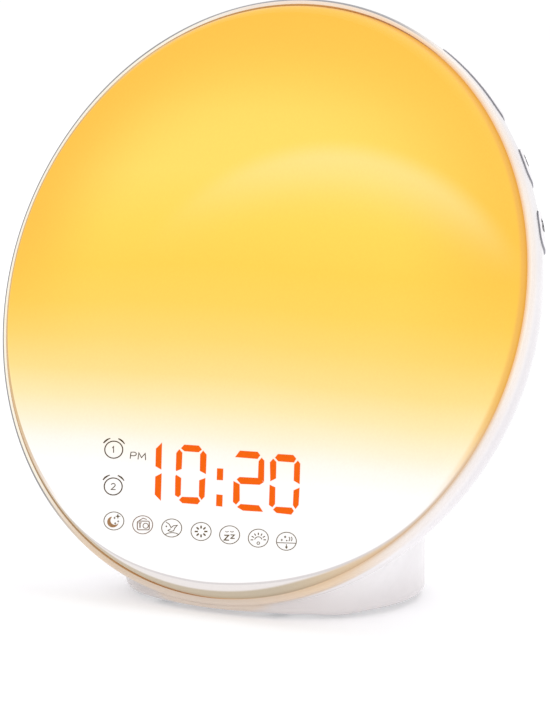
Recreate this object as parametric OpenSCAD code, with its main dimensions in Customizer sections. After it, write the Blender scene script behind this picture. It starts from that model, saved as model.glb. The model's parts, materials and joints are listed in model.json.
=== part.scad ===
// Sunrise alarm clock: a tilted glowing disc in a white bowl on an integral foot.
// World frame: +Z up, the face looks toward -Y, +X is right seen from the front.
// The origin is on the desk, under the centre of the clock.
// Face frame: x along world X, y up the face, z out of the face; z = 0 is the front of the rim.

/* [Face] */
// Height of the face centre above the desk
face_height = 86; // [85:0.5:88]
// Tilt of the face back from the vertical, degrees
face_tilt = 16.5; // [15.5:0.5:17.5]
// Radius of the front diffuser
diffuser_r = 84.6; // [84.4:0.05:84.7]
// Rise of the diffuser's dome above the rim at its centre
dome_rise = 9; // [8:0.25:9.5]
// Wall of the diffuser
diffuser_wall = 2; // [1.8:0.1:2.2]

/* [Bowl] */
// Largest radius of the bowl
bowl_r = 86.6; // [86.5:0.05:87]
// Depth of the bowl behind the rim
bowl_depth = 54; // [53:0.5:56]
// Radius of the bowl's shoulder
shoulder_r = 22; // [21:0.5:23]
// Wall of the bowl and of the foot
wall = 2.2; // [2:0.1:2.4]

/* [Foot] */
// Radius of the foot
foot_r = 43; // [42.5:0.25:43.5]
// Distance of the foot's axis behind the face centre
foot_back = 11.5; // [11.25:0.25:12]
// Radius of the flatter front of the foot
foot_front_r = 60; // [58:1:64]
// Distance of the foot's flat rear panel behind the face centre
panel_back = 48; // [47.5:0.25:48.5]
// Height of the rubber feet
pad_h = 1.5; // [1.4:0.1:1.6]

/* [Keys] */
// Direction in which the keys of one side press, degrees above the horizontal
key_dir = 33; // [32:0.5:34]
// How far a key stands out of the bowl
key_proud = 0.8; // [0.6:0.1:1]
// Gap around a key
key_gap = 0.3; // [0.25:0.05:0.35]
// Travel of a key
key_travel = 0.5; // [0.4:0.05:0.5]

/* [Loudspeaker] */
// Height of the loudspeaker's axis above the face centre, along the face
speaker_up = 18; // [17:0.5:19]
// Radius of the loudspeaker's frame
speaker_r = 22; // [21.5:0.25:22]

/* [Hidden] */

FN = 96;
// Offset that centres the whole clock over the origin, front to back
yd = -14.6;
st = sin(face_tilt);
ct = cos(face_tilt);

// Bowl section: a shoulder arc that runs tangent into a spherical back
zs = -2;
c1x = bowl_r - shoulder_r;
dd = bowl_depth + zs;
back_r = (c1x * c1x + dd * dd - shoulder_r * shoulder_r) / (2 * dd - 2 * shoulder_r);
c2z = -bowl_depth + back_r;
tan_a = atan2(zs - c2z, c1x);
lip_r = diffuser_r + 0.3;

// Diffuser dome: a shallow spherical front and a rounded shoulder
dome_e = 4.9;
dome_R = (81 * 81 + dome_e * dome_e) / (2 * dome_e);
sh_r = 6.8;
sh_c = diffuser_r - sh_r;

// Loudspeaker planes, in the face frame
sz = -41;

// Boards
led_z = -12.6;
main_z = -21;
disp_z = -7.5;
board_t = 1.6;

// Key centres along the side, their half widths, and the key rows
key_t = [24.5, -5.3, -24];
key_h = [13.7, 4.8, 4.8];
key_z0 = -15.6;
key_z1 = -5.8;
switch_z = -13.4;
kb_s = 65.4;
kb_t = 1.6;

module face_frame() translate([0, yd, face_height]) rotate([90 - face_tilt, 0, 0]) children();
module base_frame() translate([0, yd, 0]) children();
// A point of the face frame in the base frame
function to_base(p) = [p[0], p[1] * st - p[2] * ct, face_height + p[1] * ct + p[2] * st];

// Points of the bowl's half section below the shoulder line, offset outward by off
function bowl_arc(off) = concat(
    [for (k = [0 : 8]) [c1x + (shoulder_r + off) * cos(tan_a * k / 8), zs + (shoulder_r + off) * sin(tan_a * k / 8)]],
    [for (k = [1 : 12]) let (q = tan_a + (-90 - tan_a) * k / 12)
        [k == 12 ? 0 : (back_r + off) * cos(q), c2z + (back_r + off) * sin(q)]]);
// Solid bowl, offset outward by off, up to height top
module bowl(off, top) rotate_extrude($fn = FN)
    polygon(concat([[0, top], [bowl_r + off, top]], bowl_arc(off)));
// Outer bowl with the rounded edge of its rim
rim_e = 0.9;
module bowl_outer() rotate_extrude($fn = FN)
    polygon(concat([[0, 0]], [for (k = [0 : 4]) [bowl_r - rim_e + rim_e * sin(22.5 * k), -rim_e + rim_e * cos(22.5 * k)]], bowl_arc(0)));

// Hollow of the bowl, with the seat of the diffuser's edge at its mouth
module cavity() rotate_extrude($fn = FN) polygon(concat([[0, 3], [lip_r, 3], [lip_r, -3], [lip_r - 2.3, -3], [lip_r - 2.3, -4],
    [c1x + sqrt(pow(shoulder_r - wall, 2) - pow(4 + zs, 2)), -4]], [for (p = bowl_arc(-wall)) if (p[1] < -4.2) p]));

// Axis of the flatter front of the foot, behind the face centre
foot_front_c = foot_front_r - 24.6;
// Column of the foot, inset by in, from height z0 to z1 in the base frame
module column(in, z0, z1, front) intersection() {
    translate([0, foot_back, z0]) cylinder(r = foot_r - in, h = z1 - z0, $fn = FN);
    translate([0, foot_front_c, z0 - 1]) cylinder(r = foot_front_r - in, h = z1 - z0 + 2, $fn = FN);
    translate([-60, -60, z0 - 1]) cube([120, 60 + panel_back - in, z1 - z0 + 2]);
    translate([0, 0, face_height]) rotate([90 - face_tilt, 0, 0])
        translate([-100, -120, -150 - front]) cube([200, 240, 150]);
}

// Frame of one side's keys: x along the press direction, outward, y along the side, z out of the face
module side(s) mirror([s < 0 ? 1 : 0, 0, 0]) rotate([0, 0, key_dir]) children();
// Prism of a key's outline, grown by g
module key_prism(i, g, s0, s1, r = 2) {
    w = key_h[i] + g;
    z0 = key_z0 - g;
    z1 = key_z1 + g;
    rr = r + g;
    translate([s0, key_t[i], 0]) {
        translate([0, -w + rr, z0]) cube([s1 - s0, 2 * w - 2 * rr, z1 - z0]);
        translate([0, -w, z0 + rr]) cube([s1 - s0, 2 * w, z1 - z0 - 2 * rr]);
        for (y = [-w + rr, w - rr]) for (z = [z0 + rr, z1 - rr])
            translate([0, y, z]) rotate([0, 90, 0]) cylinder(r = rr, h = s1 - s0, $fn = 48);
    }
}
module shell_layer(o1, o0) difference() {
    bowl(o1, 5);
    bowl(o0, 6);
}

boss_led = [[-20, 62], [20, 62], [-62, -22], [62, -22]];
boss_main = [[-32, -46], [32, -46], [-32, -6], [32, -6]];
boss_disp = [[-45.5, -57], [38, -57]];
boss_spk = [for (a = [45 : 90 : 315]) [25 * cos(a), speaker_up + 25 * sin(a)]];
boss_key_t = [5, -14.7];
base_bosses = [[-34.4, 14], [34.4, 14], [-18, -15], [18, -15]];
pads = [[-27, -2.5], [27, -2.5], [-22, 34], [22, 34]];

module boss(p, z, r) translate([p[0], p[1], -70]) cylinder(r = r, h = 70 + z, $fn = 48);
// Face frame seen from the base frame
module tilted() translate([0, 0, face_height]) rotate([90 - face_tilt, 0, 0]) children();
module bosses() difference() {
    intersection() {
        tilted() union() {
            for (p = boss_led) boss(p, led_z - 0.1, 3);
            for (p = boss_main) boss(p, main_z - board_t, 3);
            for (p = boss_spk) boss(p, sz, 2.9);
            for (p = boss_disp) boss(p, disp_z, 2.9);
            translate([0, speaker_up, -70]) cylinder(r = 21.6, h = 70 + sz - 0.8, $fn = FN);
        }
        union() {
            tilted() bowl(-wall / 2, -5);
            column(wall / 2, 3, 70, 7);
        }
    }
    tilted() translate([0, speaker_up, -80]) cylinder(r = 20.4, h = 90, $fn = FN);
}
module key_bosses(s) side(s) intersection() {
    for (t = boss_key_t) translate([kb_s + kb_t, t, switch_z]) rotate([0, 90, 0]) cylinder(r = 2.4, h = 20, $fn = 48);
    rotate([0, 0, -key_dir]) bowl(-wall / 2, -5);
}
module grille() for (i = [-5 : 5]) {
    y = i * 3.3;
    w = sqrt(18.5 * 18.5 - y * y);
    translate([0, speaker_up + y, -75]) {
        translate([-w + 0.8, -0.8, 0]) cube([2 * w - 1.6, 1.6, 40]);
        for (x = [-w + 0.8, w - 0.8]) translate([x, 0, 0]) cylinder(r = 0.8, h = 40, $fn = 32);
    }
}

module rear_housing() color("white") difference() {
    union() {
        difference() {
            union() {
                face_frame() bowl_outer();
                base_frame() difference() {
                    column(0, pad_h, 78, 1);
                    // rounded bottom edges
                    for (c = [[foot_r, foot_back], [foot_front_r, foot_front_c]])
                        translate([0, c[1], pad_h]) difference() {
                            translate([0, 0, -1]) cylinder(r = c[0] + 2, h = 3, $fn = FN);
                            translate([0, 0, -2]) cylinder(r = c[0] - 2, h = 5, $fn = FN);
                            translate([0, 0, 2]) rotate_extrude($fn = FN) translate([c[0] - 2, 0]) circle(r = 2, $fn = 48);
                        }
                }
            }
            face_frame() cavity();
            base_frame() column(wall, -5, 70, 6);
        }
        base_frame() bosses();
        for (s = [-1, 1]) face_frame() key_bosses(s);
        // bosses and ribs of the base screws
        base_frame() intersection() {
            union() {
                for (p = base_bosses) translate([p[0], p[1], 3.6]) cylinder(r = 3, h = 6.6, $fn = 48);
                for (s = [-1, 1]) translate([s > 0 ? 34.4 : -41, 12.8, 4]) cube([6.6, 2.4, 6]);
                for (s = [-1, 1]) translate([18 * s - 1.2, -22, 4]) cube([2.4, 7, 6]);
            }
            column(1, 3, 30, 4.8);
        }
    }
    for (s = [-1, 1]) face_frame() side(s) for (i = [0 : 2]) key_prism(i, key_gap, 60, 100);
    face_frame() grille();
    face_frame() for (p = boss_led) translate([p[0], p[1], led_z - 7]) cylinder(r = 1.25, h = 8, $fn = 32);
    face_frame() for (p = boss_main) translate([p[0], p[1], main_z - board_t - 7]) cylinder(r = 1.25, h = 8, $fn = 32);
    face_frame() for (p = boss_disp) translate([p[0], p[1], disp_z - 7]) cylinder(r = 1.25, h = 8, $fn = 32);
    face_frame() for (p = boss_spk) translate([p[0], p[1], sz - 3.4]) cylinder(r = 1.05, h = 5, $fn = 32);
    for (s = [-1, 1]) face_frame() side(s) for (t = boss_key_t)
        translate([kb_s, t, switch_z]) rotate([0, 90, 0]) cylinder(r = 1.25, h = 8, $fn = 32);
    base_frame() for (p = base_bosses) translate([p[0], p[1], 3]) cylinder(r = 1.25, h = 9, $fn = 32);
    base_frame() translate([-13, 40, 17]) rotate([-90, 0, 0]) cylinder(r = 4, h = 12, $fn = 64);
    base_frame() translate([13, 40, 17]) rotate([-90, 0, 0]) cylinder(r = 3, h = 12, $fn = 64);
}

// Half section of the diffuser, inset by in: the dome's arc, the shoulder's arc and the edge
module dome_section(in, bot) {
    ra = dome_R - in;
    rb = sh_r - in;
    za = dome_rise - dome_R;
    zb = -1.8;
    // where the two arcs meet
    dist = sqrt(sh_c * sh_c + (zb - za) * (zb - za));
    m = (ra * ra - rb * rb + dist * dist) / (2 * dist);
    k = sqrt(ra * ra - m * m);
    px = m * sh_c / dist + k * (zb - za) / dist;
    pz = za + m * (zb - za) / dist - k * sh_c / dist;
    a1 = atan2(pz - za, px);
    b1 = atan2(pz - zb, px - sh_c);
    polygon(concat([[0, bot]], [for (i = [0 : 12]) let (q = 90 + (a1 - 90) * i / 12) [i == 0 ? 0 : ra * cos(q), za + ra * sin(q)]],
        [for (i = [1 : 6]) let (q = b1 * (1 - i / 6)) [sh_c + rb * cos(q), zb + rb * sin(q)]],
        [[diffuser_r - in, bot]]));
}
module dome(in, bot) rotate_extrude($fn = FN) dome_section(in, bot);
module front_diffuser() color([1, 0.82, 0.42]) face_frame() difference() {
    dome(0, -2.95);
    dome(diffuser_wall, -4);
}

module light_reflector() color("white") face_frame() difference() {
    union() {
        difference() {
            rotate_extrude($fn = FN)
                polygon([[53, -11.2], [56.6, -11.2], [80.6, -2.2], [82, -2.2], [82, -3.4], [58, -12.5], [53, -12.5]]);
            translate([-100, -150, -20]) cube([200, 150 - 38, 40]);
        }
        for (p = boss_led) hull() {
            translate([p[0], p[1], -12.5]) cylinder(r = 3, h = 1.3, $fn = 32);
            translate([p[0] * 0.86, p[1] * 0.86, -12.5]) cylinder(r = 4, h = 1.3, $fn = 32);
        }
        // baffle between the light chamber and the display
        intersection() {
            translate([-78, -38, -12.5]) cube([156, 1.4, 30]);
            union() {
                dome(diffuser_wall + 0.4, -3);
                translate([0, 0, -12.5]) cylinder(r1 = 58, r2 = 82, h = 9.1, $fn = FN);
            }
            cylinder(r = 80.5, h = 60, center = true, $fn = FN);
        }
    }
    for (p = boss_led) {
        translate([p[0], p[1], -14]) cylinder(r = 1.5, h = 6, $fn = 32);
        translate([p[0], p[1], -11.2]) cylinder(r = 2.6, h = 10, $fn = 48);
    }
    for (p = led_holes) translate([p[0], p[1], -14]) cylinder(r = 1.25, h = 6, $fn = 32);
}

led_holes = [[-38.5, 38.5], [38.5, 38.5], [-49, -24], [49, -24]];
module led_board() color([0.93, 0.94, 0.92]) face_frame() difference() {
    translate([0, 0, led_z - board_t]) cylinder(r = 57, h = board_t, $fn = FN);
    translate([-100, -150, -20]) cube([200, 150 - 36.2, 40]);
    for (p = led_holes) translate([p[0], p[1], -18]) cylinder(r = 1.5, h = 10, $fn = 32);
}
function ring(r, n, a0) = [for (k = [0 : n - 1]) [r * cos(a0 + 360 * k / n), r * sin(a0 + 360 * k / n), a0 + 360 * k / n]];
white_at = [for (p = concat(ring(46, 18, 0), ring(30, 12, 15), ring(12, 4, 45))) if (p[1] > -32) p];
rgb_at = [for (p = concat(ring(38, 12, 0), ring(21, 6, 30))) if (p[1] > -32) p];
module white_leds() color([1, 0.86, 0.4]) face_frame() for (p = white_at)
    translate([p[0], p[1], led_z]) rotate([0, 0, p[2]]) translate([-1.75, -1.4, 0]) cube([3.5, 2.8, 0.8]);
module rgb_leds() color([0.95, 0.95, 0.95]) face_frame() for (p = rgb_at)
    translate([p[0], p[1], led_z]) rotate([0, 0, p[2]]) translate([-2.5, -2.5, 0]) cube([5, 5, 1.5]);

// Display: strokes of the four figures, the colon and the round marks
dig_u = [-23.1, -6.8, 12.2, 23.6];
dig_v = -52.2;
seg_w = 1.9;
mark_u = [for (k = [0 : 6]) -31.3 + 9.56 * k];
mark_v = -67.3;
side_marks = [[-34, -47.4], [-32.8, -57.7], [-25.4, -48.5]];
// One stroke of a figure, l long
module stroke(l, w) polygon([[-l / 2, 0], [-l / 2 + w / 2, w / 2], [l / 2 - w / 2, w / 2], [l / 2, 0], [l / 2 - w / 2, -w / 2], [-l / 2 + w / 2, -w / 2]]);
module figure_strokes(w, which) for (k = which) {
    x = [0, 4.3, 4.3, 0, -4.3, -4.3, 0][k];
    y = [7.1, 3.55, -3.55, -7.1, -3.55, 3.55, 0][k];
    translate([x, y]) rotate(k == 0 || k == 3 || k == 6 ? 0 : 90) stroke(k == 0 || k == 3 || k == 6 ? 7.6 : 6.4, w);
}
module all_strokes(w) {
    translate([dig_u[0], dig_v]) figure_strokes(w, [1, 2]);
    for (i = [1 : 3]) translate([dig_u[i], dig_v]) figure_strokes(w, [0 : 6]);
    for (y = [-3.2, 3.2]) translate([3.1 - w / 2, dig_v + y - w * 0.7]) square([w, w * 1.4]);
}
module display_light_box() color([0.95, 0.95, 0.94]) face_frame() difference() {
    union() {
        intersection() {
            translate([-42, -76, disp_z]) cube([76, 36.5, 8.5]);
            translate([0, 0, -20]) cylinder(r = 78.5, h = 40, $fn = FN);
        }
        // ears screwed to the bowl
        for (p = boss_disp) {
            translate([p[0], p[1], disp_z]) cylinder(r = 2.9, h = 2, $fn = 48);
            translate([p[0] < 0 ? p[0] : 33, p[1] - 2.9, disp_z]) cube([p[0] < 0 ? 4.5 : p[0] - 33, 5.8, 2]);
        }
    }
    for (p = boss_disp) translate([p[0], p[1], disp_z - 1]) cylinder(r = 1.5, h = 6, $fn = 32);
    for (u = [-38.5, 30.5]) translate([u, -43.5, disp_z - 1]) cylinder(r = 1.25, h = 6, $fn = 32);
    translate([0, 0, disp_z - 1]) linear_extrude(height = 12) all_strokes(seg_w + 0.3);
    for (u = mark_u) translate([u, mark_v, disp_z - 1]) cylinder(r = 3.2, h = 12, $fn = 48);
    for (p = side_marks) translate([p[0], p[1], disp_z - 1]) cylinder(r = 3, h = 12, $fn = 48);
}
module display_segments() color([0.96, 0.5, 0.2]) face_frame()
    translate([0, 0, disp_z + 2.2]) linear_extrude(height = 6.2) all_strokes(seg_w);
module icon_lenses() color([0.92, 0.9, 0.86]) face_frame() {
    for (u = mark_u) translate([u, mark_v, disp_z + 2.2]) cylinder(r = 3.05, h = 6.2, $fn = 48);
    for (p = side_marks) translate([p[0], p[1], disp_z + 2.2]) cylinder(r = 2.85, h = 6.2, $fn = 48);
}
module display_film() color([0.97, 0.96, 0.93]) face_frame() intersection() {
    translate([-41.5, -75.5, disp_z + 8.55]) cube([75, 35.5, 0.25]);
    translate([0, 0, -20]) cylinder(r = 78, h = 40, $fn = FN);
}
module display_board() color([0.1, 0.4, 0.25]) face_frame() difference() {
    intersection() {
        translate([-42, -76, disp_z - board_t]) cube([76, 36.5, board_t]);
        translate([0, 0, -20]) cylinder(r = 75, h = 40, $fn = FN);
    }
    for (u = [-38.5, 30.5]) translate([u, -43.5, -20]) cylinder(r = 1.5, h = 20, $fn = 32);
}
function seg_xy(k) = [[0, 4.3, 4.3, 0, -4.3, -4.3, 0][k], [7.1, 3.55, -3.55, -7.1, -3.55, 3.55, 0][k]];
module display_leds() color([1, 0.45, 0.1]) face_frame() {
    w = 1;
    for (k = [1, 2]) translate([dig_u[0] + seg_xy(k)[0] - w / 2, dig_v + seg_xy(k)[1] - w / 2, disp_z]) cube([w, w, 0.6]);
    for (i = [1 : 3]) for (k = [0 : 6]) translate([dig_u[i] + seg_xy(k)[0] - w / 2, dig_v + seg_xy(k)[1] - w / 2, disp_z]) cube([w, w, 0.6]);
    for (y = [-3.2, 3.2]) translate([3.1 - w / 2, dig_v + y - w / 2, disp_z]) cube([w, w, 0.6]);
    for (u = mark_u) translate([u - 0.8, mark_v - 0.5, disp_z]) cube([1.6, 1, 0.6]);
    for (p = side_marks) translate([p[0] - 0.8, p[1] - 0.5, disp_z]) cube([1.6, 1, 0.6]);
}
module display_driver() color([0.12, 0.12, 0.13]) face_frame() translate([-6, -62, disp_z - board_t - 1.8]) cube([12, 7.5, 1.8]);
module display_ribbon() color([0.75, 0.75, 0.78]) face_frame()
    translate([-14, -45.6, main_z]) cube([12, 0.4, disp_z - board_t - main_z]);

module main_board() color([0.1, 0.4, 0.25]) face_frame() difference() {
    translate([-37, -51, main_z - board_t]) cube([74, 50, board_t]);
    for (p = boss_main) translate([p[0], p[1], -40]) cylinder(r = 1.5, h = 40, $fn = 32);
}
mb = main_z - board_t;
module main_chip() color([0.12, 0.12, 0.13]) face_frame() translate([-14, -30, mb - 1.4]) cube([10, 10, 1.4]);
module radio_module() color([0.7, 0.72, 0.74]) face_frame() translate([12, -24, mb - 2.4]) cube([12, 12, 2.4]);
module amplifier_chip() color([0.12, 0.12, 0.13]) face_frame() translate([2, -38, mb - 1.6]) cube([5, 6, 1.6]);
module clock_crystal() color([0.8, 0.8, 0.82]) face_frame() translate([-22, -28, mb - 1.6]) rotate([-90, 0, 0]) cylinder(r = 1.5, h = 8, $fn = 32);
module capacitors() color([0.15, 0.2, 0.5]) face_frame() {
    for (p = [[26, -32], [17, -38], [-26, -36]]) translate([p[0], p[1], mb - 6]) cylinder(r = 3.1, h = 6, $fn = 48);
    translate([-24, -16, mb - 5]) cylinder(r = 2.5, h = 5, $fn = 48);
}
module board_connectors() color([0.93, 0.92, 0.88]) face_frame() {
    // light, display and key sockets on the front of the main board
    translate([-6, -33, main_z]) cube([12, 4.5, 3]);
    for (s = [-1, 1]) translate([s * 33 - 2.5, -28, main_z]) cube([5, 8, 3]);
    translate([-15, -48.6, main_z]) cube([14, 2.8, 3]);
    // loudspeaker, battery and power sockets on its back
    translate([-4, -9, mb - 4.5]) cube([8, 5, 4.5]);
    translate([-14, -48, mb - 4.5]) cube([7, 5, 4.5]);
    translate([16, -48, mb - 4.5]) cube([7, 5, 4.5]);
}

// A lead of radius r swept along points
function unit(v) = v / norm(v);
function along(p, i) = unit((i < len(p) - 1 ? unit(p[i + 1] - p[i]) : [0, 0, 0]) + (i > 0 ? unit(p[i] - p[i - 1]) : [0, 0, 0]));
module lead(p, r) {
    n = len(p);
    m = 8;
    rings = [for (i = [0 : n - 1]) let (t = along(p, i), u = unit(cross([0.31, 0.87, 0.39], t)), w = cross(t, u))
        for (k = [0 : m - 1]) p[i] + r * (cos(360 * k / m) * u + sin(360 * k / m) * w)];
    polyhedron(points = rings, faces = concat([[for (k = [0 : m - 1]) k]], [[for (k = [m - 1 : -1 : 0]) (n - 1) * m + k]],
        [for (i = [0 : n - 2]) for (k = [0 : m - 1]) let (a = i * m + k, b = i * m + (k + 1) % m) [a, a + m, b + m]],
        [for (i = [0 : n - 2]) for (k = [0 : m - 1]) let (a = i * m + k, b = i * m + (k + 1) % m) [a, b + m, b]]));
}

module speaker_basket() color([0.35, 0.36, 0.38]) face_frame() translate([0, speaker_up, 0]) difference() {
    union() {
        rotate_extrude($fn = FN) polygon([[20, sz], [speaker_r, sz], [speaker_r, sz + 1], [20.8, sz + 1], [13.6, sz + 10],
            [12.4, sz + 10], [6, sz + 10], [6, sz + 9.2], [12.2, sz + 9.2], [19.4, sz + 1.2], [20, sz + 1]]);
        for (a = [45 : 90 : 315]) rotate([0, 0, a]) {
            translate([25, 0, sz]) cylinder(r = 2.9, h = 1, $fn = 32);
            translate([21, -2.9, sz]) cube([4, 5.8, 1]);
        }
        translate([-4, -16.2, sz + 8]) cube([8, 2.6, 1]);
        translate([-4, -14.5, sz + 6.4]) cube([8, 1, 2]);
    }
    for (a = [45 : 90 : 315]) rotate([0, 0, a]) translate([25, 0, sz - 1]) cylinder(r = 1.4, h = 3, $fn = 32);
    for (a = [0, 90, 180]) rotate([0, 0, a]) translate([17, 0, sz + 5.2]) rotate([0, 0, 0]) cube([9, 8, 4.4], center = true);
}
module speaker_magnet() color([0.2, 0.2, 0.22]) face_frame() translate([0, speaker_up, sz + 10]) {
    difference() {
        cylinder(r = 12.3, h = 7, $fn = FN);
        translate([0, 0, -1]) cylinder(r = 5.6, h = 6.4, $fn = 48);
    }
    cylinder(r = 4.1, h = 5.4, $fn = 48);
}
module speaker_surround() color([0.13, 0.13, 0.14]) face_frame() translate([0, speaker_up, sz]) rotate_extrude($fn = FN) {
    difference() {
        translate([18.2, 0.2]) circle(r = 1.4, $fn = 48);
        translate([18.2, 0.2]) circle(r = 1, $fn = 48);
        translate([10, 0.2]) square([20, 5]);
    }
    translate([19.3, 0.2]) square([0.6, 0.5]);
}
module speaker_cone() color([0.16, 0.16, 0.17]) face_frame() translate([0, speaker_up, sz]) rotate_extrude($fn = FN)
    polygon([[5.05, 6.4], [16.3, 0.4], [16.3, 0.9], [5.6, 7.0], [5.05, 7.0]]);
module speaker_dust_cap() color([0.13, 0.13, 0.14]) face_frame() translate([0, speaker_up, sz]) rotate_extrude($fn = FN) intersection() {
    difference() {
        translate([0, 9.5]) circle(r = 7, $fn = 64);
        translate([0, 9.5]) circle(r = 6.6, $fn = 64);
    }
    translate([0, 0]) square([6.2, 5.85]);
}
module voice_coil() color([0.72, 0.42, 0.2]) face_frame() translate([0, speaker_up, sz + 6.2]) difference() {
    cylinder(r = 5, h = 7.8, $fn = 48);
    translate([0, 0, -1]) cylinder(r = 4.5, h = 10, $fn = 48);
}
module speaker_gasket() color([0.2, 0.2, 0.2]) face_frame() translate([0, speaker_up, sz - 0.8]) difference() {
    cylinder(r = 21.6, h = 0.8, $fn = FN);
    translate([0, 0, -1]) cylinder(r = 20.4, h = 3, $fn = FN);
}
module speaker_cloth() color([0.1, 0.1, 0.11]) face_frame() translate([0, speaker_up, sz - 1.9]) cylinder(r = 20.3, h = 0.3, $fn = FN);
module speaker_leads() color([0.7, 0.1, 0.1]) face_frame() for (x = [-2, 2])
    lead([[x, speaker_up - 16.25, sz + 8.5], [x, speaker_up - 17.8, sz + 8.5], [x, -6.5, -29.6], [x, -6.5, mb - 4.55]], 0.6);

module key(i, s) color("white") face_frame() union() {
    intersection() {
        side(s) key_prism(i, 0, 60, 100);
        shell_layer(key_proud, -wall - 1.6);
    }
    intersection() {
        side(s) key_prism(i, 1.2, 60, 100);
        shell_layer(-wall - 0.4, -wall - 1.6);
        rotate_extrude($fn = FN) translate([60, key_z0 - 0.3]) square([40, key_z1 - key_z0 + 1.3]);
    }
    // stem onto the switch
    side(s) intersection() {
        translate([72.35, key_t[i], switch_z]) rotate([0, 90, 0]) cylinder(r = 1.5, h = 8, $fn = 32);
        rotate([0, 0, -key_dir]) bowl(-wall - 1, -5);
    }
}
module plunger(i, s) color([0.1, 0.1, 0.11]) face_frame() side(s)
    translate([kb_s + kb_t + 1.6, key_t[i], switch_z]) rotate([0, 90, 0]) cylinder(r = 1.6, h = 72.3 - kb_s - kb_t - 1.6, $fn = 32);
module right_long_key() key(0, 1);
module right_upper_key() key(1, 1);
module right_lower_key() key(2, 1);
module left_long_key() key(0, -1);
module left_upper_key() key(1, -1);
module left_lower_key() key(2, -1);
module right_long_plunger() plunger(0, 1);
module right_upper_plunger() plunger(1, 1);
module right_lower_plunger() plunger(2, 1);
module left_long_plunger() plunger(0, -1);
module left_upper_plunger() plunger(1, -1);
module left_lower_plunger() plunger(2, -1);

module key_board(s) color([0.1, 0.4, 0.25]) face_frame() side(s) difference() {
    translate([kb_s, -28, -16.6]) cube([kb_t, 56.5, 6.2]);
    for (t = boss_key_t) translate([kb_s - 1, t, switch_z]) rotate([0, 90, 0]) cylinder(r = 1.5, h = 5, $fn = 32);
}
module right_key_board() key_board(1);
module left_key_board() key_board(-1);
module key_switches(s) color([0.25, 0.26, 0.28]) face_frame() side(s) for (i = [0 : 2]) difference() {
    translate([kb_s + kb_t, key_t[i] - 3, switch_z - 3]) cube([2.9, 6, 6]);
    translate([kb_s + kb_t + 0.7, key_t[i], switch_z]) rotate([0, 90, 0]) cylinder(r = 1.7, h = 5, $fn = 32);
}
module right_key_switches() key_switches(1);
module left_key_switches() key_switches(-1);

// Coin-cell door: a round plate with two bayonet tabs, and a slot for a coin
door_y = 13.5;
door_r = 13;
module door_tabs(r, a, w, z0, h) intersection() {
    translate([0, 0, z0]) cylinder(r = r, h = h, $fn = 64);
    union() for (b = [0, 180]) rotate([0, 0, b + a]) translate([8, -w / 2, z0 - 1]) cube([20, w, h + 2]);
}
module battery_door() color([0.94, 0.94, 0.93]) base_frame() translate([0, door_y, 0]) difference() {
    union() {
        translate([0, 0, pad_h + 0.1]) cylinder(r = door_r, h = 1.9, $fn = 64);
        translate([0, 0, pad_h + 1.9]) cylinder(r = 12.3, h = 1.6, $fn = 64);
        door_tabs(14.6, 0, 6, pad_h + 2.4, 1.1);
    }
    translate([-8, -0.8, pad_h]) cube([16, 1.6, 1.3]);
}
module bottom_cover() color([0.95, 0.95, 0.94]) base_frame() difference() {
    union() {
        column(wall + 0.3, pad_h, pad_h + 2, 6.4);
        // round tray of the coin cell
        translate([0, door_y, pad_h + 1]) cylinder(r = 17, h = 7.8, $fn = 64);
    }
    translate([0, door_y, pad_h - 1]) cylinder(r = door_r + 0.3, h = 4, $fn = 64);
    translate([0, door_y, pad_h + 2]) cylinder(r = 15.2, h = 1.8, $fn = 64);
    translate([0, door_y, pad_h + 2]) cylinder(r = 10.3, h = 5.3, $fn = 64);
    translate([0, door_y, 0]) door_tabs(14.9, 60, 7, pad_h - 1, 4);
    for (p = base_bosses) translate([p[0], p[1], pad_h - 1]) cylinder(r = 1.5, h = 6, $fn = 32);
    for (p = base_bosses) translate([p[0], p[1], pad_h - 1]) cylinder(r = 2.7, h = 1.9, $fn = 32);
}
module coin_cell() color([0.8, 0.8, 0.82]) base_frame() translate([0, door_y, pad_h + 4]) {
    cylinder(r = 10, h = 2.6, $fn = 64);
    translate([0, 0, 2.6]) cylinder(r = 8.8, h = 0.4, $fn = 64);
}
module battery_contacts() color([0.85, 0.7, 0.35]) base_frame() translate([0, door_y, pad_h]) {
    translate([-4, -1.5, 7.02]) cube([8, 3, 0.25]);
    translate([10.02, -0.7, 3.9]) cube([0.25, 1.4, 3.2]);
}
module rubber_feet() color([0.55, 0.55, 0.56]) base_frame() for (p = pads) translate([p[0], p[1], 0]) {
    cylinder(r1 = 4.8, r2 = 5.3, h = 0.5, $fn = 48);
    translate([0, 0, 0.5]) cylinder(r = 5.3, h = pad_h - 0.5, $fn = 48);
}

module dc_jack() color([0.1, 0.1, 0.11]) base_frame() translate([-13, panel_back, 17]) rotate([-90, 0, 0]) difference() {
    union() {
        cylinder(r = 5.2, h = 0.9, $fn = 64);
        translate([0, 0, -12]) cylinder(r = 3.9, h = 12.5, $fn = 64);
        translate([0, 0, -13.5]) cylinder(r = 3.4, h = 2, $fn = 64);
    }
    translate([0, 0, -9.5]) cylinder(r = 2.8, h = 12, $fn = 64);
}
module dc_jack_pin() color([0.85, 0.85, 0.86]) base_frame() translate([-13, panel_back - 9.5, 17]) rotate([-90, 0, 0]) {
    cylinder(r = 1, h = 8.2, $fn = 32);
    translate([0, 0, 8.2]) sphere(r = 1, $fn = 32);
}
module dc_jack_nut() color([0.75, 0.75, 0.77]) base_frame() translate([-13, panel_back - wall, 17]) rotate([90, 0, 0]) difference() {
    cylinder(r = 6.2, h = 2.4, $fn = 6);
    translate([0, 0, -1]) cylinder(r = 3.95, h = 5, $fn = 64);
}
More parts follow.
